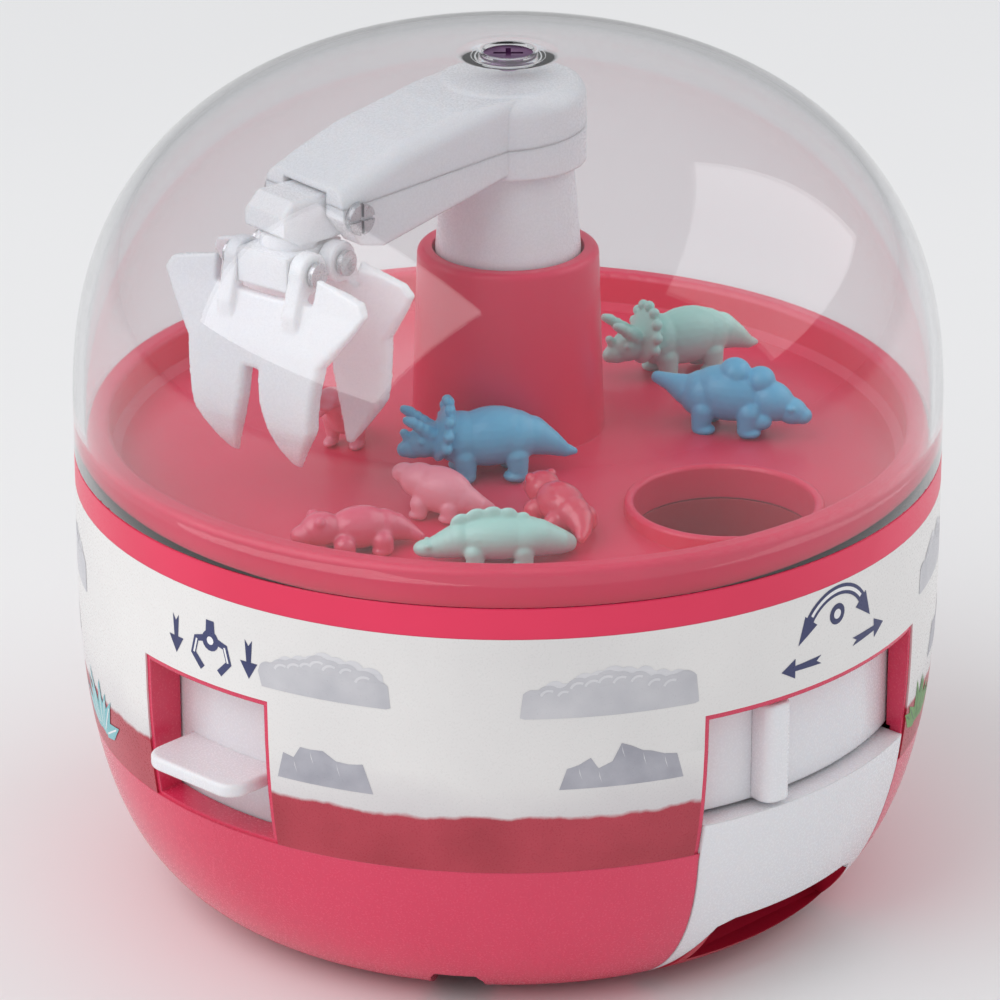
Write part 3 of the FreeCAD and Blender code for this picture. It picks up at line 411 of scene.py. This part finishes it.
def addObject(name, mesh, material):
    item = bpy.data.objects.new(name, mesh)
    bpy.context.scene.collection.objects.link(item)
    if not mesh.materials:
        mesh.materials.append(material)
    smoothFaces(mesh)
    return item


def applyModifiers(item):
    depsgraph = bpy.context.evaluated_depsgraph_get()
    mesh = bpy.data.meshes.new_from_object(item.evaluated_get(depsgraph))
    old = item.data
    item.modifiers.clear()
    item.data = mesh
    bpy.data.meshes.remove(old)


def latheObject(name, profile, material, around=160):
    # profile is a closed list of (radius, height) in mm; points on the axis are welded
    build = bmesh.new()
    rings = []
    for radius, height in profile:
        if radius < 1e-6:
            rings.append([build.verts.new((0, 0, height * mm))])
            continue
        circle = []
        for step in range(around):
            angle = 2 * math.pi * step / around
            x, y = radius * mm * math.cos(angle), radius * mm * math.sin(angle)
            circle.append(build.verts.new((x, y, height * mm)))
        rings.append(circle)
    for index, first in enumerate(rings):
        second = rings[(index + 1) % len(rings)]
        if len(first) == 1 and len(second) == 1:
            continue
        for step in range(around):
            after = (step + 1) % around
            if len(first) == 1:
                build.faces.new((first[0], second[after], second[step]))
            elif len(second) == 1:
                build.faces.new((first[step], first[after], second[0]))
            else:
                build.faces.new((first[step], first[after], second[after], second[step]))
    bmesh.ops.recalc_face_normals(build, faces=build.faces)
    mesh = bpy.data.meshes.new(name)
    build.to_mesh(mesh)
    build.free()
    return addObject(name, mesh, material)


domeLook = {"wall": 1.5, "seam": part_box("dome")[0].z / mm, "steps": 40, "screwRadius": 3.55,
            "bossRadius": 4.0, "pocketDepth": 1.4, "bossDepth": 2.2, "lip": 0.25, "round": 0.1}


def makeDome():
    wall, top, start = domeLook["wall"], toy["top"], toy["domeStart"]
    power = toy["domePower"]

    def curve(radius, rise, first, last):
        points = []
        for step in range(domeLook["steps"] + 1):
            angle = first + (last - first) * step / domeLook["steps"]
            points.append((radius * max(math.cos(angle), 0) ** (2 / power),
                           start + rise * math.sin(angle) ** (2 / power)))
        return points

    pocket, boss = domeLook["screwRadius"], domeLook["bossRadius"]
    lip, rounded = domeLook["lip"], domeLook["round"]
    floor, ceiling = top - domeLook["pocketDepth"], top - domeLook["bossDepth"]
    outer = [(toy["radius"] - lip, domeLook["seam"]), (toy["radius"], domeLook["seam"] + lip)]
    outer += [p for p in curve(toy["radius"], top - start, 0, math.pi / 2) if p[0] > pocket + 0.2]
    outer += [(pocket, top - rounded), (pocket, floor), (0, floor)]
    inner = [p for p in curve(toy["radius"] - wall, top - start - wall, 0, math.pi / 2) if p[0] > boss + 0.2]
    inner += [(boss, top - wall - rounded), (boss - 0.3, ceiling), (0, ceiling)]
    inner.insert(0, (toy["radius"] - wall, domeLook["seam"]))
    dome = latheObject("clear_dome_shell", outer + inner[::-1], clearDome)
    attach(dome, "dome")
    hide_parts("dome")


makeDome()
print("dome ready")


clawLook = {"grain": 0.22, "swell": 0.5, "soften": 5, "fade": 6.0, "neck": 6.5}


def softened(name, node, body):
    # rounded copy of a moulded piece, thicker between its upper and lower ends
    item = addObject(name, nodes[node].data.copy(), clawWhite)
    item.matrix_world = nodes[node].matrix_world.copy()
    remesh = item.modifiers.new("fuse", "REMESH")
    remesh.mode = "VOXEL"
    remesh.voxel_size = clawLook["grain"] * mm
    soften = item.modifiers.new("soften", "SMOOTH")
    soften.factor = 0.5
    soften.iterations = clawLook["soften"]
    applyModifiers(item)
    heights = [vert.co.z / mm for vert in item.data.vertices]
    low, high = min(heights), max(heights)
    offsets = []
    for vert in item.data.vertices:
        height = vert.co.z / mm
        above, below = height - low, max(0.0, high - clawLook["neck"] - height)
        share = min(1.0, above / clawLook["fade"], below / clawLook["fade"])
        offsets.append(vert.normal * clawLook["swell"] * share * mm)
    for vert, offset in zip(item.data.vertices, offsets):
        vert.co += offset
    smoothFaces(item.data)
    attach(item, body)
    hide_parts(node)


softened("outer_jaw_soft", "outer_jaw", "outer_jaw")
softened("inner_jaw_soft", "inner_jaw", "inner_jaw")
print("claw ready")


springLook = {"wire": 0.5, "radius": 4.6, "turns": 7, "sides": 12, "perTurn": 36, "stroke": 6.0}


def makeSpring():
    low, high = (corner.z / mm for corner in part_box("return_spring"))
    foot, rise = low + springLook["wire"], high - low - 2 * springLook["wire"]
    count = springLook["turns"] * springLook["perTurn"]
    build = bmesh.new()
    hoops = []
    for step in range(count + 1):
        angle = 2 * math.pi * step / springLook["perTurn"]
        outward = Vector((math.cos(angle), math.sin(angle), 0))
        middle = outward * springLook["radius"] + Vector((0, 0, foot + rise * step / count))
        hoop = []
        for side in range(springLook["sides"]):
            turn = 2 * math.pi * side / springLook["sides"]
            point = middle + (outward * math.cos(turn) + Vector((0, 0, math.sin(turn)))) * springLook["wire"]
            hoop.append(build.verts.new(point * mm))
        hoops.append(hoop)
    for first, second in zip(hoops, hoops[1:]):
        for side in range(springLook["sides"]):
            after = (side + 1) % springLook["sides"]
            build.faces.new((first[side], first[after], second[after], second[side]))
    build.faces.new(hoops[0])
    build.faces.new(hoops[-1])
    bmesh.ops.recalc_face_normals(build, faces=build.faces)
    mesh = bpy.data.meshes.new("return_spring_coil")
    build.to_mesh(mesh)
    build.free()
    spring = addObject("return_spring_coil", mesh, springSteel)
    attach(spring, "base")
    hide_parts("return_spring")
    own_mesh(spring)


makeSpring()
print("spring ready")


def inkMaterial(name, tint, shade, drift=120.0):
    material, tree, links, shader = newMaterial(name)
    skin = useGroup(tree, moulded, Tint=tint, Shade=shade, Drift=drift, Roughness_Low=0.26,
                    Roughness_High=0.38)
    links.new(skin.outputs["Color"], shader.inputs["Base Color"])
    links.new(skin.outputs["Roughness"], shader.inputs["Roughness"])
    return material


inks = {
    "leaf": inkMaterial("inkLeaf", colour(112, 170, 72), colour(78, 140, 58)),
    "leafDark": inkMaterial("inkLeafDark", colour(52, 104, 50), colour(42, 88, 44)),
    "cloud": inkMaterial("inkCloud", colour(206, 205, 209), colour(188, 188, 194), drift=160.0),
    "cloudLight": inkMaterial("inkCloudLight", colour(222, 221, 224), colour(208, 208, 213), drift=160.0),
    "hill": inkMaterial("inkHill", colour(184, 184, 192), colour(160, 160, 170), drift=220.0),
    "navy": inkMaterial("inkNavy", colour(58, 64, 110), colour(44, 50, 94)),
    "teal": inkMaterial("inkTeal", colour(128, 200, 204), colour(104, 182, 192)),
    "paper": inkMaterial("inkPaper", colour(244, 243, 244), colour(236, 235, 237)),
}


def arcPoints(centreX, centreY, radius, first, last, steps):
    points = []
    for step in range(steps + 1):
        angle = math.radians(first + (last - first) * step / steps)
        points.append((centreX + radius * math.cos(angle), centreY + radius * math.sin(angle)))
    return points


def turned(points, degrees, offsetX=0.0, offsetY=0.0, size=1.0):
    angle = math.radians(degrees)
    cosine, sine = math.cos(angle) * size, math.sin(angle) * size
    return [(offsetX + x * cosine - y * sine, offsetY + x * sine + y * cosine) for x, y in points]


def stroke(points, width):
    # outline of a line drawn with a pen of the given width
    left, right = [], []
    for index, (x, y) in enumerate(points):
        before = points[max(index - 1, 0)]
        after = points[min(index + 1, len(points) - 1)]
        along = Vector((after[0] - before[0], after[1] - before[1])).normalized()
        left.append((x - along.y * width / 2, y + along.x * width / 2))
        right.append((x + along.y * width / 2, y - along.x * width / 2))
    return left + right[::-1]


printLook = {"finest": 2.2, "splits": 6, "lift": 0.01}


def printPiece(name, azimuth, height, layers):
    # layers are (ink, outline in mm across and up, lift in hundredths of a mm)
    build = bmesh.new()
    used = []
    for ink, outline, lift in layers:
        if ink not in used:
            used.append(ink)
        index = used.index(ink)
        flat = [Vector((x, y, 0)) for x, y in outline]
        part = bmesh.new()
        corners = [part.verts.new(point) for point in flat]
        for triangle in tessellate_polygon([flat]):
            if len(set(triangle)) == 3:
                part.faces.new([corners[k] for k in triangle])
        for _ in range(printLook["splits"]):
            long = [edge for edge in part.edges if edge.calc_length() > printLook["finest"]]
            if not long:
                break
            bmesh.ops.subdivide_edges(part, edges=long, cuts=1)
            bmesh.ops.triangulate(part, faces=[face for face in part.faces if len(face.verts) > 3])
        around = math.degrees(1.0 / bowlRadius(height))
        lifted = {}
        for vert in part.verts:
            place = onBowl(azimuth + vert.co.x * around, height + vert.co.y, lift * printLook["lift"])
            lifted[vert] = build.verts.new(place)
        for face in part.faces:
            made = build.faces.new([lifted[vert] for vert in face.verts])
            made.material_index = index
            made.smooth = True
        part.free()
    build.normal_update()
    outward = [face for face in build.faces
               if face.normal.dot(Vector((face.calc_center_median().x, face.calc_center_median().y, 0))) < 0]
    bmesh.ops.reverse_faces(build, faces=outward)
    mesh = bpy.data.meshes.new(name)
    build.to_mesh(mesh)
    build.free()
    for ink in used:
        mesh.materials.append(inks[ink])
    item = addObject(name, mesh, None)
    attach(item, "base")


def blobOutline(bumps, floor):
    # scalloped shape: bumps are (centre, height, radius), joined along a flat floor
    left = bumps[0][0] - bumps[0][2]
    right = bumps[-1][0] + bumps[-1][2]
    steps = 60
    points = []
    for step in range(steps + 1):
        x = left + (right - left) * step / steps
        top = floor + 0.2
        for centre, height, radius in bumps:
            inside = 1 - ((x - centre) / radius) ** 2
            if inside > 0:
                top = max(top, height + radius * math.sqrt(inside))
        points.append((x, top))
    return points + [(right - 0.6, floor), (left + 0.6, floor)]


def makeClouds():
    rng = random.Random(7)
    places = [(-23.5, 50.5, 8.6), (13.5, 50.0, 11.0), (78.0, 51.0, 8.0), (104.0, 47.0, 10.0),
              (132.0, 52.0, 8.5), (163.0, 48.5, 11.0), (-168.0, 52.0, 9.0), (-138.0, 48.0, 10.5),
              (-108.0, 52.0, 8.0), (-82.0, 49.0, 8.0)]         # azimuth, height, half its width
    for number, (azimuth, height, half) in enumerate(places):
        bumps = []
        x = -half
        while x < half:
            rise = 2.2 * math.cos(x / half * 1.4)
            bumps.append((x, rise + rng.uniform(-0.4, 0.5), rng.uniform(1.5, 2.4)))
            x += rng.uniform(1.7, 2.4)
        upper = [(centre + 0.8, tall + 0.9, radius * 0.85) for centre, tall, radius in bumps[1:-1]]
        layers = [("cloudLight", blobOutline(upper, 0.4), 1.5), ("cloud", blobOutline(bumps, -1.8), 2.5)]
        for centre, tall, radius in bumps[1:-1]:
            shine = arcPoints(centre, tall, radius * 0.6, 160, 60, 8)
            layers.append(("cloudLight", stroke(shine, 0.35), 3.5))
        printPiece("cloud_print_%02d" % number, azimuth, height, layers)


def makeHills():
    rng = random.Random(3)
    places = [(14.5, 40.4, 8.5), (-24.0, 38.6, 7.0), (84.0, 39.5, 9.0), (118.0, 38.5, 8.0),
              (150.0, 39.5, 9.5), (-178.0, 38.5, 8.0), (-148.0, 39.5, 9.0), (-118.0, 38.8, 8.0),
              (-90.0, 39.5, 7.5)]                              # azimuth, height, half its width
    for number, (azimuth, height, half) in enumerate(places):
        points = [(-half, -2.6)]
        x = -half + 1.0
        while x < half - 1.0:
            points.append((x, rng.uniform(0.2, 3.6) * math.cos(x / half * 1.3)))
            x += rng.uniform(1.0, 2.0)
        points.append((half, -2.6))
        layers = [("hill", points, 1.5)]
        for x, y in points[2:-2:2]:
            layers.append(("cloudLight", [(x, y - 0.3), (x + 0.5, y - 2.2), (x + 0.1, y - 1.2)], 2.5))
        printPiece("hill_print_%02d" % number, azimuth, height, layers)


def arrowOutline(length, width):
    half = length / 2
    return [(-half, width * 0.32), (half - 2.4, width * 0.2), (half - 2.4, width * 0.75), (half, 0),
            (half - 2.4, -width * 0.75), (half - 2.4, -width * 0.2), (-half, -width * 0.32), (-half + 0.9, 0)]


def makeArrows():
    printPiece("arrow_print_left", 40.3, 49.4, [("navy", turned(arrowOutline(7.2, 1.9), 180), 3)])
    printPiece("arrow_print_right", 53.4, 50.0, [("navy", turned(arrowOutline(7.4, 1.9), 4), 3)])
    swing = arcPoints(0, -2.0, 6.4, 148, 32, 16)
    layers = [("navy", stroke(swing, 1.5), 3), ("paper", stroke(swing[1:-1], 0.5), 5)]
    for side, end in ((1, swing[-1]), (-1, swing[0])):
        tip = [(0, 1.5), (2.3 * side, -1.9), (-1.6 * side, -0.9)]
        layers.append(("navy", turned(tip, -18 * side, end[0] + 0.3 * side, end[1] - 0.4), 3))
    layers.append(("navy", arcPoints(0, 1.0, 1.5, 0, 345, 18), 3))
    layers.append(("paper", arcPoints(0, 1.0, 0.7, 0, 345, 14), 5))
    printPiece("swing_pictogram", 46.6, 54.0, layers)


def makeClawSign():
    # small claw with a downward arrow on each side of it
    hooks = []
    for side in (1, -1):
        bend = [(0.5 * side, 1.6), (2.6 * side, 1.0), (3.2 * side, -1.2), (1.5 * side, -3.0)]
        hooks.append(("navy", stroke(bend, 1.0), 3))
        hooks.append(("paper", stroke([(x * 0.96, y * 0.96) for x, y in bend[1:3]], 0.3), 5))
    layers = [("navy", [(-0.7, 4.2), (0.7, 4.2), (0.9, 1.2), (-0.9, 1.2)], 3)] + hooks
    layers.append(("navy", arcPoints(0, 1.3, 1.5, 0, 345, 16), 3))
    layers.append(("paper", arcPoints(0, 1.3, 0.6, 0, 345, 12), 5))
    for shift in (-6.6, 6.6):
        down = turned(arrowOutline(5.6, 1.9), -90, shift, 0.4)
        layers.append(("navy", down, 3))
    printPiece("claw_pictogram", -41.0, 51.6, layers)


def makeLeaves():
    rng = random.Random(21)
    places = [(-71.0, 28.0, "teal", 1.0), (72.5, 29.0, "leaf", 0.8), (98.0, 28.5, "teal", 0.9),
              (128.0, 29.0, "leaf", 1.0), (158.0, 28.5, "teal", 1.1), (-172.0, 28.5, "leaf", 0.9),
              (-142.0, 28.5, "teal", 1.0), (-112.0, 28.5, "leaf", 0.9)]
    for number, (azimuth, height, ink, size) in enumerate(places):
        layers = []
        for blade in range(7):
            lean = -60 + 20 * blade + rng.uniform(-6, 6)
            length = size * rng.uniform(6.5, 9.5)
            leaf = [(-0.5, 0), (-1.2, length * 0.45), (0, length), (1.2, length * 0.45), (0.5, 0)]
            layers.append((ink, turned(leaf, -lean, lean * 0.03, 0), 2 + blade))
            rib = stroke([(0, 0.6), (0, length * 0.8)], 0.25)
            ribInk = "leafDark" if ink == "leaf" else "paper"
            layers.append((ribInk, turned(rib, -lean, lean * 0.03, 0), 2.6 + blade))
        printPiece("leaf_print_%02d" % number, azimuth, height, layers)


makeClouds()
makeHills()
makeArrows()
makeClawSign()
makeLeaves()
print("printed art ready")


def ball(build, centre, radii, turn=(0, 0, 0)):
    place = Matrix.Translation(centre)
    for axis, angle in zip("XYZ", turn):
        place = place @ Matrix.Rotation(math.radians(angle), 4, axis)
    scale = Matrix.Diagonal((*radii, 1))
    bmesh.ops.create_icosphere(build, subdivisions=3, radius=1.0, matrix=place @ scale)


def tube(build, points, radii):
    for (start, end), (wide, thin) in zip(zip(points, points[1:]), zip(radii, radii[1:])):
        for share in (0.0, 0.33, 0.66, 1.0):
            centre = Vector(start).lerp(Vector(end), share)
            size = wide + (thin - wide) * share
            ball(build, centre, (size, size, size))


figureLook = {"grain": 0.2, "soften": 3, "sink": 0.5}


def figure(name, node, heading, material, draw):
    # drawn in mm on its own floor, then set in the tray at the CAD piece's place
    build = bmesh.new()
    draw(build)
    mesh = bpy.data.meshes.new(name)
    build.to_mesh(mesh)
    build.free()
    item = addObject(name, mesh, material)
    remesh = item.modifiers.new("fuse", "REMESH")
    remesh.mode = "VOXEL"
    remesh.voxel_size = figureLook["grain"]
    soften = item.modifiers.new("soften", "SMOOTH")
    soften.factor = 0.5
    soften.iterations = figureLook["soften"]
    applyModifiers(item)
    smoothFaces(item.data)
    centre = boxCentre(node)
    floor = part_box(node)[0].z - figureLook["sink"] * mm
    turn = Matrix.Rotation(math.radians(heading), 4, "Z")
    item.data.transform(Matrix.Translation((centre.x, centre.y, floor)) @ turn @ Matrix.Scale(mm, 4))
    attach(item, "base")
    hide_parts(node)


def walkingLegs(build, fronts, rears, apart, thick, tall):
    for x in (fronts, rears):
        for side in (-1, 1):
            tube(build, [(x, side * apart, tall), (x + 0.3, side * apart * 1.15, thick * 0.7)],
                 [thick * 1.15, thick * 0.85])
            foot = (thick * 1.1, thick * 0.95, thick * 0.55)
            ball(build, (x - 0.2, side * apart * 1.15, thick * 0.5), foot)


def hornedAnimal(build):
    # head towards -X: wide frill, two brow horns and a nose horn
    ball(build, (1.2, 0, 5.7), (6.0, 4.0, 4.1), (0, -6, 0))
    ball(build, (-2.8, 0, 5.6), (3.8, 3.6, 3.7))
    ball(build, (4.2, 0, 5.6), (3.7, 3.6, 3.6))
    tube(build, [(6.5, 0, 5.6), (9.0, 0.2, 4.4), (11.2, 0.6, 3.0), (12.6, 1.0, 2.6)], [2.7, 1.8, 1.0, 0.5])
    walkingLegs(build, -2.6, 4.4, 2.1, 1.5, 3.6)
    ball(build, (-5.2, 0, 6.6), (1.2, 4.4, 4.2), (0, 16, 0))
    for step in range(9):
        angle = math.radians(-20 + 27.5 * step)
        ball(build, (-5.0 + 0.5 * math.sin(angle), 4.1 * math.cos(angle), 6.8 + 4.0 * math.sin(angle)),
             (0.8, 0.8, 0.8))
    ball(build, (-7.4, 0, 5.4), (3.0, 2.3, 2.3), (0, -20, 0))
    ball(build, (-9.4, 0, 4.4), (1.9, 1.5, 1.5))
    ball(build, (-10.5, 0, 4.2), (1.1, 1.1, 1.1))
    for side in (-1, 1):
        browHorn = [(-7.0, side * 1.3, 6.8), (-9.6, side * 2.0, 8.8), (-10.4, side * 2.1, 9.2)]
        tube(build, browHorn, [1.1, 0.8, 0.6])
        ball(build, (-8.4, side * 1.9, 5.9), (0.6, 0.5, 0.55))
    tube(build, [(-9.6, 0, 5.2), (-10.6, 0, 6.6)], [0.9, 0.6])


def crestedAnimal(build):
    # round walker with two humps on its back, a blunt head held low and a short tail
    ball(build, (0.6, 0, 5.4), (5.4, 3.8, 3.9), (0, -8, 0))
    ball(build, (3.8, 0, 5.0), (3.6, 3.4, 3.4))
    ball(build, (-0.4, 0, 8.4), (2.3, 2.4, 2.2))
    ball(build, (-4.0, 0, 7.6), (2.1, 2.2, 2.0))
    ball(build, (-5.6, 0.2, 4.8), (3.4, 2.8, 2.8), (0, -24, 0))
    ball(build, (-8.4, 0.3, 3.6), (2.4, 2.0, 1.9), (0, -16, 0))
    ball(build, (-10.0, 0.4, 3.0), (1.4, 1.4, 1.2))
    tube(build, [(6.2, 0, 5.4), (8.6, -0.4, 6.2), (10.6, -0.9, 6.6)], [2.2, 1.3, 0.9])
    walkingLegs(build, -2.8, 3.6, 2.2, 1.5, 3.4)
    for side in (-1, 1):
        ball(build, (-8.6, 0.3 + side * 1.7, 4.4), (0.6, 0.5, 0.55))
        ball(build, (-4.4, side * 2.4, 2.4), (1.7, 1.0, 1.2))


def platedAnimal(build):
    # low heavy body with a row of upright plates and a thick curled tail
    ball(build, (0.4, 0, 3.6), (6.2, 3.3, 3.0))
    ball(build, (3.6, 0, 3.6), (4.0, 3.1, 2.7))
    tube(build, [(-4.4, 0, 3.4), (-7.4, 0.2, 2.4)], [2.4, 1.6])
    ball(build, (-8.8, 0.2, 2.2), (1.9, 1.4, 1.2))
    tube(build, [(5.6, 0, 3.4), (8.2, 0.5, 2.6), (9.6, 1.8, 1.8), (8.8, 3.0, 1.5)], [2.5, 1.8, 1.3, 0.9])
    walkingLegs(build, -2.8, 3.6, 2.1, 1.2, 2.2)
    for step in range(6):
        size = 1.9 - 0.12 * (step - 2.0) ** 2
        ball(build, (-4.6 + 2.0 * step, 0, 5.6 + size * 0.35 - 0.08 * (step - 2.0) ** 2),
             (size * 0.8, 0.6, size), (0, 45, 0))
    for side in (-1, 1):
        ball(build, (-8.8, 0.2 + side * 1.2, 2.9), (0.45, 0.4, 0.4))


def longNeckAnimal(build):
    # rounded back sloping to a tucked head, legs drawn in
    ball(build, (0.4, 0, 3.6), (4.6, 3.0, 3.2), (0, 10, 0))
    ball(build, (-2.6, 0, 4.6), (2.8, 2.3, 2.4))
    ball(build, (-4.8, 0.3, 5.2), (1.9, 1.5, 1.4))
    tube(build, [(3.2, 0, 2.8), (5.4, 0.6, 1.9), (6.8, 1.6, 1.3)], [2.2, 1.4, 0.7])
    walkingLegs(build, -2.0, 2.2, 1.9, 1.1, 2.0)
    for side in (-1, 1):
        ball(build, (-5.2, 0.3 + side * 1.1, 5.8), (0.45, 0.4, 0.45))


def lyingAnimal(build):
    # long body on its belly with stub legs and a heavy head
    ball(build, (0.6, 0, 3.2), (4.4, 2.9, 2.9))
    ball(build, (3.6, 0, 2.9), (2.8, 2.4, 2.4))
    ball(build, (-4.6, 0.3, 3.6), (2.8, 2.4, 2.3))
    ball(build, (-6.8, 0.4, 3.0), (1.9, 1.7, 1.4))
    tube(build, [(5.4, 0, 2.6), (7.2, -0.6, 1.9), (8.4, -1.6, 1.4)], [1.9, 1.2, 0.7])
    walkingLegs(build, -2.2, 3.0, 2.4, 1.3, 1.8)
    for side in (-1, 1):
        ball(build, (-5.2, 0.3 + side * 1.6, 5.0), (0.8, 0.7, 0.8))


def standingAnimal(build):
    # upright two-legged walker with small arms
    tube(build, [(1.6, 0, 4.4), (-0.6, 0, 6.6), (-2.6, 0, 8.4)], [2.7, 2.2, 1.6])
    ball(build, (-4.2, 0, 9.0), (2.4, 1.6, 1.5), (0, 8, 0))
    ball(build, (-5.6, 0, 8.5), (1.4, 1.2, 0.9))
    tube(build, [(3.0, 0, 4.0), (5.4, 0.2, 2.6), (7.6, 0.6, 1.6)], [2.0, 1.2, 0.5])
    for side in (-1, 1):
        tube(build, [(1.0, side * 1.6, 4.2), (1.6, side * 1.9, 1.0)], [1.6, 0.9])
        ball(build, (0.8, side * 1.9, 0.55), (1.7, 1.0, 0.6))
        tube(build, [(-1.8, side * 1.5, 6.6), (-3.4, side * 1.8, 6.0)], [0.6, 0.45])


figure("horned_figure", "prize_horned_blue", 6, prizeBlue, hornedAnimal)
figure("mint_figure", "prize_horned_mint", 22, prizeMint, hornedAnimal)
figure("crested_figure", "prize_crested_blue", 168, prizeBlue, crestedAnimal)
figure("plated_figure", "prize_plated_mint", 4, prizeMint, platedAnimal)
figure("small_pink_figure", "prize_small_pink", -20, prizePink, longNeckAnimal)
figure("long_pink_figure", "prize_long_pink", 20, prizeRose, lyingAnimal)
figure("tall_pink_figure", "prize_tall_pink", 70, prizePink, standingAnimal)
figure("clear_red_figure", "prize_clear_red", -60, prizeRed, lyingAnimal)
print("figures ready")


studio = {
    "sky": 0.62,
    "floorSize": 6,
    "lamps": [                         # name, place, size, power
        ("keyBox", (-0.95, -0.45, 1.05), (1.7, 1.3), 12.5),
        ("sideBox", (0.72, 0.14, 0.62), (0.9, 0.66), 1.9),
    ],
    "lampsAim": (0, 0, 0.06),
}


def makeStudio():
    floorMaterial, tree, links, shader = newMaterial("studioFloor")
    noise = tree.new("ShaderNodeTexNoise")
    noise.inputs["Scale"].default_value = 30.0
    tint = colourMix(tree, links, noise.outputs["Fac"], (0.84, 0.84, 0.845, 1), (0.88, 0.88, 0.88, 1))
    links.new(tint, shader.inputs["Base Color"])
    shader.inputs["Roughness"].default_value = 0.7
    bpy.ops.mesh.primitive_plane_add(size=studio["floorSize"], location=(0, 0, -0.0001))
    floor = bpy.context.active_object
    floor.name = "studio_floor"
    floor.data.materials.append(floorMaterial)
    world = bpy.data.worlds.new("studioWorld")
    world.use_nodes = True
    world.node_tree.nodes["Background"].inputs["Color"].default_value = (0.93, 0.94, 0.96, 1)
    world.node_tree.nodes["Background"].inputs["Strength"].default_value = studio["sky"]
    bpy.context.scene.world = world
    for name, place, size, power in studio["lamps"]:
        light = bpy.data.lights.new(name, "AREA")
        light.shape = "RECTANGLE"
        light.size, light.size_y = size
        light.energy = power
        lamp = bpy.data.objects.new(name, light)
        lamp.location = place
        aim = Vector(studio["lampsAim"]) - Vector(place)
        lamp.rotation_euler = aim.to_track_quat("-Z", "Y").to_euler()
        bpy.context.scene.collection.objects.link(lamp)


view = {
    "elevation": 22.6,
    "distance": 0.8,
    "aim": 0.05416,
    "side": -0.00111,
    "lens": 206.85,
}


def makeCamera():
    camera = bpy.data.cameras.new("frontView")
    camera.lens = view["lens"]
    camera.sensor_width = 36
    item = bpy.data.objects.new("frontView", camera)
    lift = math.radians(view["elevation"])
    back, up = view["distance"] * math.cos(lift), view["distance"] * math.sin(lift)
    item.location = (view["side"], -back, view["aim"] + up)
    item.rotation_euler = (math.radians(90) - lift, 0, 0)
    bpy.context.scene.collection.objects.link(item)
    bpy.context.scene.camera = item


makeStudio()
makeCamera()
bpy.context.scene.view_settings.view_transform = "Standard"
print("studio ready")
